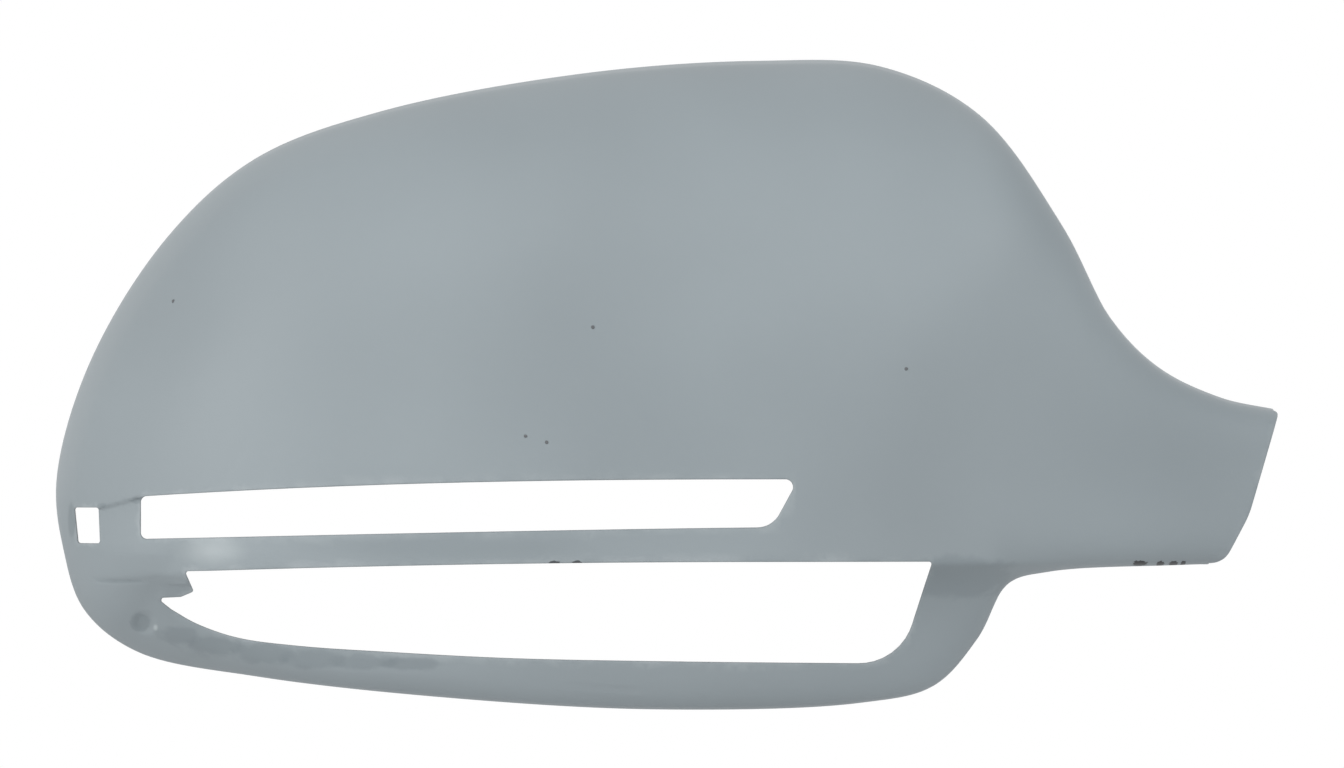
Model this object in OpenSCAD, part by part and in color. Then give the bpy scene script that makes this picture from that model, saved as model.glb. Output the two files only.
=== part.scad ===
// Outer cover of a car's wing mirror, moulded in one piece: a rolled-edge shell with a long
// lamp slot, a lower trim opening, a small clip window, snap hooks, locating pins and ribs.
// X runs along the cover to the tail at the door, Y from the front face back to the mirror
// housing, Z up. The origin is the middle of the plane on which the housing's frame seats.

/* [Overall] */
// Width of the cover, outer end to tail tip
cover_w = 240; // [232:1:250]
// Height of the cover, top to bottom
cover_h = 128; // [124:1:134]
// Depth from the front of the face to the seat plane, at mid height
seat_depth = 64; // [60:1:72]
// Lean of the seat plane, top edge further back, in degrees
seat_tilt = 11; // [7:1:14]
// Wall thickness of the moulding
wall = 2.5; // [2:0.1:3]
// Draft of the side walls, in degrees
draft = 1.5; // [0.5:0.5:2]

/* [Front face] */
// Height of the belt line, where the face stands furthest forward, above the fold
belt_rise = 13; // [9:1:19]
// Radius of the face's crown along its width
crown_across_r = 700; // [500:10:1200]
// Radius of the face's crown over its height
crown_up_r = 300; // [240:10:500]
// Depth of the rolled edge at the outer end
roll_outer = 38; // [34:1:40]
// Depth of the rolled edge along the top
roll_top = 24; // [18:1:30]
// Depth of the rolled edge along the tail
roll_tail = 8; // [6:1:12]
// Depth of the rolled edge along the bottom
roll_bottom = 8; // [6:1:10]

/* [Tail] */
// Angle at which the tail sweeps back from the face, in degrees
tail_sweep = 21; // [16:1:24]
// Softness of the bend between the face and the tail
tail_bend = 7; // [4:1:12]
// Lean of the tail's end, in degrees
tail_lean = 16.3; // [12:0.1:20]
// Height of the tail end's lower part, which slants more
heel_h = 9.8; // [6:0.1:14]
// Lean of that lower part, in degrees
heel_lean = 28; // [22:1:34]
// Radius of the tail's lower corner
tail_corner_r = 3; // [2:0.5:5]

/* [Chin] */
// Height of the fold, under which the face tucks back, above the cover's foot
fold_rise = 28.9; // [28:0.1:30]
// Drop of the fold towards the outer end
fold_drop = 2; // [0:0.5:3]
// Distance that the chin lies behind the face
chin_depth = 18; // [12:1:20]
// Fall below the fold over which the chin settles
chin_fall = 8; // [5:1:12]

/* [Lamp slot] */
// Distance from the outer end of the cover to the slot
slot_margin = 17.3; // [16:0.1:24]
// Distance from the slot to the tail tip
slot_tail_gap = 94.4; // [92:0.1:120]
// Height of the slot's upper edge at its inner end, above the fold
slot_rise = 16.7; // [15:0.1:19]
// Height of the slot at its inner end
slot_h = 9.3; // [7:0.1:10]
// Drop of the upper edge at the outer end
slot_top_drop = 3.4; // [2:0.1:4]
// Drop of the lower edge at the outer end
slot_foot_drop = 2.4; // [1:0.1:3]
// Run of the slanted inner end
slot_slant = 6.8; // [4:0.1:9]
// Radius of the slot's inner corners
slot_inner_r = 2; // [1:0.1:3]
// Radius of the slot's outer corners
slot_outer_r = 1.2; // [0.5:0.1:2]

/* [Clip window] */
// Distance from the outer end of the cover to the window
window_margin = 4.1; // [4:0.1:4.6]
// Width of the window
window_w = 4.8; // [4.5:0.1:5.2]
// Height of the window
window_h = 7; // [5:0.1:8]
// Distance of the window below the slot's upper edge
window_drop = 2.2; // [1:0.1:3]
// Depth of the lamp recess between window and slot, at its upper edge
recess_depth = 1.2; // [0.6:0.1:1.5]

/* [Lower opening] */
// Distance from the outer end of the cover to the opening's tip
opening_margin = 20.3; // [20:0.1:30]
// Distance from the opening to the tail tip
opening_tail_gap = 68.2; // [67:0.1:90]
// Height of the opening below the fold
opening_h = 19.4; // [16:0.1:20]
// Distance of the opening's upper edge above the fold
opening_lip = 0.6; // [0.5:0.1:1]
// Run of the slanted inner end
opening_slant = 7; // [3:0.1:9]
// Radius of the lower inner corner
opening_corner_r = 6; // [4:0.5:8]
// Length of the tooth at the opening's tip
tooth_l = 7.3; // [4:0.1:8]
// Height of the tooth
tooth_h = 4; // [3:0.1:5]

/* [Snap hooks] */
// Number of hooks along the top
top_hooks = 3; // [2:1:4]
// Number of hooks along the bottom
bottom_hooks = 2; // [1:1:3]
// Width of a hook along the wall
hook_w = 12; // [8:1:16]
// Thickness of a hook
hook_t = 1.8; // [1.5:0.1:2]
// Length of a hook
hook_l = 11; // [9:1:12]
// Gap between a hook and the wall behind it
hook_gap = 2; // [1.5:0.1:2.5]
// Height of the barb
hook_barb = 1.2; // [1:0.1:1.5]
// Distance of the hook tips from the seat plane
hook_inset = 2; // [1:0.5:4]

/* [Locating pins] */
// Distance from the outer end of the cover to the outer pin
pin_margin = 17.9; // [17:0.1:18.5]
// Distance of the outer pin below the fold
pin_drop = 11.4; // [11:0.1:12.5]
// Distance from the inner pin to the tail tip
pin_tail_gap = 45; // [40:1:50]
// Diameter of a locating pin
pin_d = 3.2; // [3:0.1:4]
// Length of a locating pin above its post
pin_l = 8; // [6:0.5:10]
// Diameter of the post under a pin
post_d = 6.4; // [5:0.1:7]
// Distance of the pin tips from the seat plane
pin_inset = 4; // [2:0.5:6]
// Diameter of the sink mark in front of the outer post
sink_d = 4.7; // [3:0.1:6]
// Depth of the sink mark
sink_depth = 0.5; // [0.2:0.1:0.8]

/* [Ribs] */
// Thickness of a stiffening rib
rib_t = 1.5; // [1:0.1:1.8]
// Height of a stiffening rib above the wall
rib_h = 3; // [2:0.5:5]
// Distance of the slot's frame rib from the edge of the slot
rib_gap = 2; // [1.5:0.1:2.5]

/* [Hidden] */

primer = [0.6, 0.64, 0.66];
round_steps = 48;
spline_steps = 4;
face_rings = 5;
edge_rings = 8;
core_share = 0.12;
eps = 0.01;
beyond = cover_h / 6;
outer_x = -cover_w / 2;
fold_z = fold_rise - cover_h / 2;
belt_z = fold_z + belt_rise;

// The cover seen from the front, in percent of its width and height from the middle, from
// the outer end over the top to the tail, which it overshoots, and back along the bottom
edge_knots = [
    [-50, -14.5], [-47.3, 3.5], [-41, 22.7], [-33.8, 34.8], [-23.5, 42.1], [-6.7, 48], [7.6, 49.9],
    [17.6, 49], [25.7, 41.5], [32.2, 25.2], [36.4, 10.2], [40.3, 2.7], [45.3, -1.9], [53, -5.5],
    [60, -15], [55, -26.6], [43, -27.6], [31.3, -28.7], [27.9, -30.6], [25.4, -39], [21.8, -46.2],
    [15.8, -48.8], [-0.6, -49.8], [-16.7, -48.2], [-33.4, -44.8], [-43.4, -40.9], [-47.7, -34.5],
    [-49.4, -25.4]
];

// The opening's lower edge, in percent of its length and height from its lower inner corner
foot_knots = [[0, 0], [-32, 2.6], [-52.4, 5.7], [-68.7, 11.9], [-81, 18], [-89.3, 26.3], [-94.7, 40.2], [-98.1, 54.6]];

// Curves
function hermite(a, b, ma, mb, t) =
    (2 * t ^ 3 - 3 * t ^ 2 + 1) * a + (t ^ 3 - 2 * t ^ 2 + t) * ma
    + (3 * t ^ 2 - 2 * t ^ 3) * b + (t ^ 3 - t ^ 2) * mb;

// A centripetal spline between b and c, with neighbours a and d
function spline(a, b, c, d, t) =
    let (p = sqrt(norm(b - a)), q = sqrt(norm(c - b)), r = sqrt(norm(d - c)))
    hermite(b, c, c - b + q * ((b - a) / p - (c - a) / (p + q)),
            c - b + q * ((d - c) / r - (d - b) / (q + r)), t);

function wrapped(list, i) = list[(i + len(list)) % len(list)];

function loop_at(knots, s) =
    let (i = floor(s))
    spline(wrapped(knots, i - 1), wrapped(knots, i), wrapped(knots, i + 1), wrapped(knots, i + 2), s - i);

function run(knots) =
    let (n = len(knots), k = concat([2 * knots[0] - knots[1]], knots, [2 * knots[n - 1] - knots[n - 2]]))
    concat([for (i = [0 : n - 2], j = [0 : spline_steps - 1])
               spline(k[i], k[i + 1], k[i + 2], k[i + 3], j / spline_steps)], [knots[n - 1]]);

// A polygon's corners, given as [x, z, radius], turned into arcs
function rounded(corners, steps = 5) =
    [for (i = [0 : len(corners) - 1])
        let (b = corners[i], a = wrapped(corners, i - 1), c = wrapped(corners, i + 1),
             u = unit([a.x - b.x, a.y - b.y]), v = unit([c.x - b.x, c.y - b.y]), half = acos(u * v) / 2,
             centre = [b.x, b.y] + unit(u + v) * b.z / sin(half),
             from = u * b.z / tan(half) + [b.x, b.y] - centre, to = v * b.z / tan(half) + [b.x, b.y] - centre)
        for (k = [0 : b.z > 0 ? steps : 0])
            b.z > 0 ? centre + b.z * unit(from * (1 - k / steps) + to * k / steps) : [b.x, b.y]];

function unit(v) = v / norm(v);
function with_radius(points, r) = [for (p = points) [p.x, p.y, r]];
function smooth(t) = let (u = max(0, min(1, t))) u * u * (3 - 2 * u);
function soft_ramp(d, w) = w * ln(1 + exp(d / w));

// Depths of the face, measured back from its foremost plane
function fold_at(x) = fold_z - fold_drop * (max(0, 0.08 * cover_w - x) / (0.48 * cover_w)) ^ 2;
function chin_at(x) = chin_depth * smooth((x - outer_x) / (0.12 * cover_w) - 0.2);
function tail_line(z) = cover_w / 6 + 0.58 * z + 1.05 * z ^ 2 / cover_h;
function smooth_y(p) =
    p.x ^ 2 / (2 * crown_across_r) + (p.y - belt_z) ^ 2 / (2 * crown_up_r)
    + tan(tail_sweep) * soft_ramp(p.x - tail_line(p.y), tail_bend);
function chin_y(p, fold) = chin_at(p.x) * (1 - exp(-max(0, fold - p.y) / chin_fall));

// Skin 0 is the outer face; skin 1 lies one wall behind it, with the fold's corner moved to suit
function skin_gap(p) =
    let (y = smooth_y(p)) norm([wall, smooth_y(p + [wall, 0]) - y, smooth_y(p + [0, wall]) - y]);
chin_slope = chin_depth / chin_fall;
fold_lift = wall * (sqrt(1 + chin_slope ^ 2) - 1) / chin_slope;
function skin_fold(x, skin) = fold_at(x) + skin * fold_lift;
function face_y(p, skin = 0) = smooth_y(p) + chin_y(p, skin_fold(p.x, skin)) + (skin == 0 ? 0 : skin_gap(p));
function seat_y(z) = seat_depth + tan(seat_tilt) * z;

// Rays run from a spine along the middle of the face out to its edge
function spine_z(x) = -cover_h * (0.04 + 0.11 * smooth((x / cover_w - 0.15) / 0.28));
function spine_at(e) =
    let (left = -0.33 * cover_w, right = 0.52 * cover_w, x = left + soft_ramp(e.x - left, cover_w / 20),
         inside = right - soft_ramp(right - x, cover_w / 60))
    [inside, spine_z(inside)];

// Shares of an edge point that belong to the outer end, the tail, the top and the bottom
function shares(e) =
    let (outer = smooth((spine_at(e).x - e.x) / (0.125 * cover_w)),
         tail = smooth((e.x - 0.22 * cover_w) / (0.16 * cover_w)),
         top = smooth((e.y - fold_z) / (0.47 * cover_h)), rest = 1 - outer - tail * (1 - outer))
    [outer, tail * (1 - outer), rest * top, rest * (1 - top)];
function roll_depth(e) = shares(e) * [roll_outer, roll_tail, roll_top, roll_bottom];
function roll_power(e) = shares(e) * [2.2, 6, 4, 8];
function rolled(e, r) = roll_depth(e) * (1 - sqrt(max(0, 1 - r ^ roll_power(e))));

// The rim seen from the front, and the end of the roll, which the draft brings inside it
rim_loop = [for (k = edge_knots) [k.x * cover_w, k.y * cover_h] / 100];
function drafted(e, y) = e - tan(draft) * (seat_y(e.y) - y) * unit(e - spine_at(e));
function rolled_edge(e) = drafted(e, face_y(e) + roll_depth(e));
edge_n = len(edge_knots) * spline_steps;
rim = [for (i = [0 : edge_n - 1]) loop_at(rim_loop, i / spline_steps)];
edge = [for (e = rim) rolled_edge(e)];
spine = [for (e = edge) spine_at(e)];

// Edge of either skin in plan, and the rays that reach it from the spine
inward = [for (i = [0 : edge_n - 1])
    let (along = unit(wrapped(rim, i + 1) - wrapped(rim, i - 1))) [along.y, -along.x]];
skin_edges = [edge, [for (i = [0 : edge_n - 1]) edge[i] + wall * inward[i]]];

// Share of a ray at which the shell's mesh has a ring, along the fold where there is one
function knee(i, skin) =
    let (e = skin_edges[skin][i], s = spine[i], first = (fold_z - s.y) / (e.y - s.y),
         fold = skin_fold(s.x + first * (e.x - s.x), skin), above = e.y - skin_fold(e.x, skin))
    above > 0 ? 0.985 - 0.125 * smooth(above / (0.1 * cover_h)) : max(0.4, min(0.985, (fold - s.y) / (e.y - s.y)));

function face_point(i, r, skin) =
    let (p = spine[i] + r * (skin_edges[skin][i] - spine[i]), depth = 1 - skin * wall / roll_depth(edge[i]))
    [p.x, face_y(p, skin) + depth * rolled(edge[i], r), p.y];
function wall_point(i, y, skin) =
    let (p = drafted(rim[i], y) + skin * wall * inward[i]) [p.x, y, p.y];

function ray(i, skin) =
    let (k = knee(i, skin), start = face_point(i, 1, skin).y)
    concat([for (j = [0 : face_rings]) face_point(i, core_share + (k - core_share) * j / face_rings, skin)],
           [for (j = [1 : edge_rings]) face_point(i, k + (1 - k) * sin(90 * j / edge_rings) ^ 1.3, skin)],
           [for (t = [0.5, 1]) wall_point(i, start + (seat_y(rim[i].y) - start) * t, skin)]);

skins = [for (skin = [0, 1]) [for (i = [0 : edge_n - 1]) ray(i, skin)]];
ring_n = len(skins[0][0]);

// Depth of the outer face over any point of the plan
function crossing(p) =
    [for (i = [0 : edge_n - 1])
        let (k = (i + 1) % edge_n, a = cross(edge[i] - spine[i], p - spine[i]),
             b = cross(edge[k] - spine[k], p - spine[k]))
        if (a * b <= 0 && a != b && (p - spine[i]) * (edge[i] - spine[i]) > 0) [i, k, a / (a - b)]];
function depth_at(p) =
    let (found = crossing(p), c = len(found) > 0 ? found[0] : [0, 0, 0],
         e = edge[c[0]] * (1 - c[2]) + edge[c[1]] * c[2], s = spine[c[0]] * (1 - c[2]) + spine[c[1]] * c[2])
    face_y(p) + (len(found) > 0 ? rolled(e, min(1, norm(p - s) / norm(e - s))) : 0);

// Outlines of the openings, as [x, z]
slot_left = outer_x + slot_margin;
slot_right = cover_w / 2 - slot_tail_gap;
slot_l = slot_right - slot_left;
slot_top_z = fold_z + slot_rise;
function slot_share(x) = max(0, (slot_right - x) / slot_l);
function slot_top(x) = slot_top_z - slot_top_drop * slot_share(x) ^ 2.5;
function slot_foot(x) = slot_top_z - slot_h - slot_foot_drop * slot_share(x) ^ 1.3;
slot_stations = [for (t = [0.88, 0.72, 0.54, 0.36, 0.18]) slot_right - t * slot_l];
slot_outline = rounded(concat(
    [[slot_left, slot_top(slot_left), slot_outer_r]], [for (x = slot_stations) [x, slot_top(x), 0]],
    [[slot_right, slot_top_z, slot_inner_r],
     [slot_right - slot_slant, slot_foot(slot_right - slot_slant), slot_inner_r]],
    [for (i = [len(slot_stations) - 1 : -1 : 0]) let (x = slot_stations[i]) [x, slot_foot(x), 0]],
    [[slot_left, slot_foot(slot_left), slot_outer_r]]));

window_left = outer_x + window_margin;
window_top = slot_top(slot_left) - window_drop;
window_outline = rounded(with_radius([
    [window_left, window_top], [window_left + window_w, window_top],
    [window_left + 1.06 * window_w, window_top - window_h], [window_left + 0.14 * window_w, window_top - window_h]],
    0.1 * window_w));

opening_left = outer_x + opening_margin;
opening_right = cover_w / 2 - opening_tail_gap;
opening_l = opening_right - opening_left;
function opening_top(x) = fold_at(x) + opening_lip;
opening_corner = [opening_right - opening_slant, fold_z - opening_h];
tooth_x = opening_left + tooth_l;
tooth_r = 0.1 * tooth_h;
opening_stations = [for (t = [0.06, 0.2, 0.36, 0.52, 0.68, 0.84]) opening_left + t * opening_l];
opening_foot = run([for (k = foot_knots)
    opening_corner + [k.x / 100 * (opening_corner.x - opening_left), k.y / 100 * opening_h]]);
opening_outline = rounded(concat(
    [[tooth_x - 0.23 * tooth_l, opening_top(tooth_x), tooth_r]],
    [for (x = opening_stations) if (x > tooth_x + 0.3 * tooth_l) [x, opening_top(x), 0]],
    [[opening_right, opening_top(opening_right), tooth_r], [opening_corner.x, opening_corner.y, opening_corner_r]],
    with_radius([for (p = opening_foot) if (p.x < opening_corner.x - 2 * opening_corner_r) p], 0),
    [[opening_left, opening_top(tooth_x) - 1.33 * tooth_h, tooth_r],
     [tooth_x - 0.35 * tooth_l, opening_top(tooth_x) - 1.27 * tooth_h, tooth_r],
     [tooth_x, opening_top(tooth_x) - tooth_h, tooth_r]]));

// Plan corners of the tail's end
tail_tip = [cover_w / 2, -0.043 * cover_h];
tail_foot_z = -0.276 * cover_h;
tail_kink = tail_tip + (tail_tip.y - tail_foot_z - heel_h) * [-tan(tail_lean), -1];
tail_corner = tail_kink + heel_h * [-tan(heel_lean), -1];

module through(outline, from, to) {
    translate([0, to, 0])
    rotate([90, 0, 0])
    linear_extrude(to - from)
    polygon(outline);
}

// Closed mesh between a front skin and a back skin of matching points, [across][along]
module slab(front, back) {
    n = len(front);
    m = len(front[0]);
    function at(i, j, side) = side * n * m + i * m + j;
    function quad(a, b, c, d) = [[a, b, c], [a, c, d]];
    points = concat([for (row = front) each row], [for (row = back) each row]);
    faces = [
        for (i = [0 : n - 2], j = [0 : m - 2]) each quad(at(i, j, 0), at(i, j + 1, 0), at(i + 1, j + 1, 0), at(i + 1, j, 0)),
        for (i = [0 : n - 2], j = [0 : m - 2]) each quad(at(i, j, 1), at(i + 1, j, 1), at(i + 1, j + 1, 1), at(i, j + 1, 1)),
        for (i = [0 : n - 2]) each quad(at(i, 0, 0), at(i + 1, 0, 0), at(i + 1, 0, 1), at(i, 0, 1)),
        for (i = [0 : n - 2]) each quad(at(i, m - 1, 0), at(i, m - 1, 1), at(i + 1, m - 1, 1), at(i + 1, m - 1, 0)),
        for (j = [0 : m - 2]) each quad(at(0, j, 0), at(0, j, 1), at(0, j + 1, 1), at(0, j + 1, 0)),
        for (j = [0 : m - 2]) each quad(at(n - 1, j, 0), at(n - 1, j + 1, 0), at(n - 1, j + 1, 1), at(n - 1, j, 1))
    ];
    polyhedron(points, faces);
}

// The shell as a closed mesh: outer skin, inner skin one wall behind it, and the rim between
module shell() {
    points = [for (skin = skins) each [for (line = skin) each line]];
    half = edge_n * ring_n;
    function at(i, j) = (i % edge_n) * ring_n + j;
    function quad(a, b, c, d) = [[a, b, c], [a, c, d]];
    skin = concat([for (i = [0 : edge_n - 1], j = [0 : ring_n - 2])
                      each quad(at(i, j), at(i, j + 1), at(i + 1, j + 1), at(i + 1, j))],
                  [for (i = [1 : edge_n / 2 - 2]) each quad(at(i, 0), at(i + 1, 0), at(edge_n - i - 1, 0), at(edge_n - i, 0))],
                  [[at(0, 0), at(1, 0), at(edge_n - 1, 0)],
                   [at(edge_n / 2, 0), at(edge_n / 2 + 1, 0), at(edge_n / 2 - 1, 0)]]);
    lip = [for (i = [0 : edge_n - 1]) let (a = at(i, ring_n - 1), b = at(i + 1, ring_n - 1))
        each quad(a, a + half, b + half, b)];
    polyhedron(points, concat(skin, [for (f = skin) [f[2] + half, f[1] + half, f[0] + half]], lip));
}

module tail_trim() {
    outline = rounded([
        [tail_tip.x + wall, tail_tip.y + cover_h, 0], [tail_tip.x, tail_tip.y, 0.4 * wall],
        [tail_kink.x, tail_kink.y, 2 * tail_corner_r],
        [tail_corner.x, tail_corner.y, tail_corner_r],
        [tail_corner.x - 3 * tail_corner_r, tail_foot_z - 0.004 * cover_h, 0],
        [tail_corner.x - 3 * tail_corner_r, tail_corner.y - beyond, 0], [cover_w, -cover_h, 0],
        [cover_w, cover_h, 0]]);
    through(outline, -beyond, seat_depth + beyond);
}

module openings() {
    through(slot_outline, -beyond, seat_depth);
    through(window_outline, -beyond, seat_depth);
    through(opening_outline, -beyond, seat_depth);
}

// The lamp recess: deepest at its upper edge, running out level with the face below
module lamp_recess() {
    left = window_left + 0.95 * window_w;
    right = slot_left + 0.05 * window_w;
    foot = window_top - window_h;
    plan = [for (i = [0 : 4]) [for (j = [0 : 4])
        let (x = left + (right - left) * i / 4, top = window_top + window_drop * i / 4)
        [x, foot + (top - foot) * j / 4]]];
    slab([for (row = plan) [for (p = row) [p.x, depth_at(p) - wall, p.y]]],
         [for (row = plan) [for (j = [0 : 4]) [row[j].x, depth_at(row[j]) + recess_depth * j / 4 - eps, row[j].y]]]);
}

// A blade that follows a path in plan, from one offset to another behind the outer face
module blade(path, t, from, to) {
    n = len(path);
    sides = [for (i = [0 : n - 1])
        let (along = unit(path[min(i + 1, n - 1)] - path[max(i - 1, 0)]), side = [-along.y, along.x] * t / 2)
        [path[i] - side, path[i] + side]];
    depths = [for (p = path) depth_at(p)];
    slab([for (i = [0 : n - 1]) [for (p = sides[i]) [p.x, depths[i] + from, p.y]]],
         [for (i = [0 : n - 1]) [for (p = sides[i]) [p.x, depths[i] + to, p.y]]]);
}

// Ribs that stiffen the face above the lamp slot and the bar below it
module slot_ribs() {
    off = rib_gap + rib_t / 2;
    stations = [for (t = [0 : 14]) slot_left - 1.6 * wall + (slot_l + 4 * wall) * t / 14];
    blade([for (x = stations) [x, slot_top(x) + off]], rib_t, wall / 2, wall + rib_h);
    blade([for (x = stations) [x, slot_foot(x) - off]], rib_t, wall / 2, wall + rib_h);
}

// A short rib across the outer end
module end_rib() {
    start = outer_x + 3 * wall;
    path = [for (t = [0 : 4]) [start + (outer_pin.x - start) * t / 4, fold_z - fold_drop - 0.8 * rib_t]];
    blade(path, rib_t, wall / 2, wall + rib_h);
}

// Places of the locating pins in plan; the outer one stands behind the sink mark
outer_pin = [outer_x + pin_margin, fold_z - pin_drop];
inner_pin = [cover_w / 2 - pin_tail_gap, -0.16 * cover_h];
module sink_mark() {
    p = outer_pin;
    here = [p.x, depth_at(p), p.y];
    h = sink_d / 4;
    back = unit(cross([0, depth_at(p + [0, h]) - here.y, h], [h, depth_at(p + [h, 0]) - here.y, 0]));
    r = (sink_d ^ 2 / 4 + sink_depth ^ 2) / (2 * sink_depth);
    translate(here - back * (r - sink_depth))
    sphere(r, $fn = 32);
}

// The trimmed moulding, brought to its exact width and height
module skin() {
    resize([cover_w, 0, cover_h])
    difference() {
        union() {
            shell();
            slot_ribs();
            end_rib();
            for (p = [outer_pin, inner_pin])
                post(p);
        }
        tail_trim();
        openings();
        lamp_recess();
        sink_mark();
    }
}

// A round post under a pin; its foot follows the slope of the wall
function post_top(p) = seat_y(p.y) - pin_inset - pin_l;
module post(p) {
    around = [for (i = [0 : round_steps - 1]) p + post_d / 2 * [cos(360 * i / round_steps), sin(360 * i / round_steps)]];
    n = round_steps;
    function in_wall(q) = [q.x, depth_at(q) + wall / 2, q.y];
    points = concat([for (q = around) in_wall(q)], [for (q = around) [q.x, post_top(p), q.y]], [in_wall(p)]);
    polyhedron(points, concat(
        [for (i = [0 : n - 1]) [2 * n, (i + 1) % n, i]],
        [for (i = [0 : n - 1]) [i, (i + 1) % n, n + (i + 1) % n, n + i]],
        [[for (i = [0 : n - 1]) n + i]]));
}

// A pin with a chamfered tip, rooted one wall deep in its post
module locating_pin(p) {
    nose = 0.15 * pin_d;
    straight = wall + pin_l - nose;
    translate([p.x, post_top(p) - wall, p.y])
    rotate([-90, 0, 0]) {
        cylinder(d = pin_d, h = straight, $fn = round_steps);
        translate([0, 0, straight])
        cylinder(d1 = pin_d, d2 = pin_d - 2 * nose, h = nose, $fn = round_steps);
    }
}

// A hook at a place along the rim: a root plate, a springy arm with a barb, and two webs
module snap_hook(s) {
    place = loop_at(rim_loop, s);
    along = unit(loop_at(rim_loop, s + 0.05) - loop_at(rim_loop, s - 0.05));
    tip = -hook_inset;
    root = tip - hook_l;
    in_wall = wall / 2 - tan(draft) * root;
    arm = wall + hook_gap;
    catch = tip - 2.5 * hook_barb;
    translate([place.x, seat_y(place.y), place.y])
    rotate([0, atan2(along.x, along.y), 0]) {
        linear_extrude(hook_w, center = true)
        polygon([
            [in_wall, root], [arm + hook_t, root], [arm + hook_t, catch], [arm + hook_t + hook_barb, catch + 0.2 * hook_barb],
            [arm + hook_t + hook_barb, catch + 0.7 * hook_barb], [arm + 0.6 * hook_t, tip], [arm, tip],
            [arm, root + hook_t], [in_wall, root + hook_t]]);
        for (side = [-1, 1])
            translate([0, 0, side * (hook_w - rib_t) / 2])
            linear_extrude(rib_t, center = true)
            polygon([[in_wall, root - 1.5 * hook_gap], [arm + hook_t, root + eps], [in_wall, root + eps]]);
    }
}

module mirror_cover() {
    color(primer)
    translate([0, -seat_depth, 0]) {
        skin();
        for (p = [outer_pin, inner_pin])
            locating_pin(p);
        snap_hook(0.9);
        for (i = [0 : top_hooks - 1])
            snap_hook(2.8 + 4.7 * (i + 0.5) / top_hooks);
        for (i = [0 : bottom_hooks - 1])
            snap_hook(21 + 3 * (i + 0.5) / bottom_hooks);
    }
}

mirror_cover();
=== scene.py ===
import math

import bmesh
import bpy
import numpy as np
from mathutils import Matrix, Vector, geometry


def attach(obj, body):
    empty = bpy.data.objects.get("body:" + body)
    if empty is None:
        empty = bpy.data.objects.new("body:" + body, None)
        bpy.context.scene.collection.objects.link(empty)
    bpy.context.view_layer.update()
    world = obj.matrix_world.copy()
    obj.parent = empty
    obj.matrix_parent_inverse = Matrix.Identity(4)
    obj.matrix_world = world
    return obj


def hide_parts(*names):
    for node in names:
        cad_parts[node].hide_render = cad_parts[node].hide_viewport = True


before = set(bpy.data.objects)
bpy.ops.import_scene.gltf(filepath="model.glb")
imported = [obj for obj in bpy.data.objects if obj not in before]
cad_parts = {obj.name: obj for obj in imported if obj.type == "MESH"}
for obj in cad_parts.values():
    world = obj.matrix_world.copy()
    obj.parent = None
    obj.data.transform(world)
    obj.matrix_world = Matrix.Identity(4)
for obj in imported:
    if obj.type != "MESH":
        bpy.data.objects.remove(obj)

bl_info = {
    "name": "Wing mirror cover",
    "version": (1, 0, 0),
    "blender": (4, 5, 0),
    "location": "View3D > Sidebar > Mirror cover",
    "description": "Builds a car's wing mirror cover in grey primer, with hooks, pins, ribs and stage",
    "category": "Object",
}

NODE = "mirror_cover"
ROOT = "root"
KNOT_STEPS = 14

# The rim seen from the front, in percent of width and height from the middle
RIM_KNOTS = [
    (-50, -14.5), (-47.3, 3.5), (-41, 22.7), (-33.8, 34.8), (-23.5, 42.1), (-6.7, 48), (7.6, 49.9),
    (17.6, 49), (25.7, 41.5), (32.2, 25.2), (36.4, 10.2), (40.3, 2.7), (45.3, -1.9), (53, -5.5),
    (60, -15), (55, -26.6), (43, -27.6), (31.3, -28.7), (27.9, -30.6), (25.4, -39), (21.8, -46.2),
    (15.8, -48.8), (-0.6, -49.8), (-16.7, -48.2), (-33.4, -44.8), (-43.4, -40.9), (-47.7, -34.5),
    (-49.4, -25.4),
]
# The lower opening's foot, in percent of its length and height from its lower inner corner
FOOT_KNOTS = [
    (0, 0), (-32, 2.6), (-52.4, 5.7), (-68.7, 11.9), (-81, 18), (-89.3, 26.3), (-94.7, 40.2), (-98.1, 54.6),
]
# Where the rim's run meets the tail's end, in knots, how far the end's upper corner is rounded in
# millimetres, and the tip's height and the end's length as shares of the cover's height
TAIL_TOP, TAIL_FOOT, TAIL_ROUND = (11, 14), (14.5, 17), 0.8
TAIL_TIP, TAIL_END = -0.043, 0.233

# How the face runs, as shares of the cover's width and height: the bend to the tail, where the fold
# starts to drop, where the chin sets in, the curves of the slot's edges and the inner pin's height
BEND_PART, BEND_LEAN, BEND_CURVE = 6, 0.58, 1.05
FOLD_START, FOLD_RUN = 0.08, 0.48
CHIN_RUN, CHIN_WAIT = 0.12, 0.2
SLOT_TOP_CURVE, SLOT_FOOT_CURVE = 2.5, 1.3
INNER_PIN_UP = -0.16

# The spine that the rays leave from: its ends, how softly it stops there, its height and its dip
SPINE_ENDS, SPINE_STOPS = (-0.33, 0.52), (20, 60)
SPINE_DOWN, SPINE_DIP, DIP_START, DIP_RUN = 0.04, 0.11, 0.15, 0.28

# Over which share of the cover each roll sets in, and how square it is
OUTER_RUN, TAIL_START, TAIL_RUN, TOP_RUN = 0.125, 0.22, 0.16, 0.47
OUTER_POWER, TAIL_POWER, TOP_POWER, BOTTOM_POWER = 2.2, 6, 4, 8

# Outlines of the openings: corner radii in millimetres
SLOT_OUTER_R, SLOT_INNER_R, SMALL_R = 1.2, 1.5, 0.5
# First and last point along the slot's edges as shares of its length, and how many there are
SLOT_SHARES = (0.95, 0.12, 14)
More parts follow.
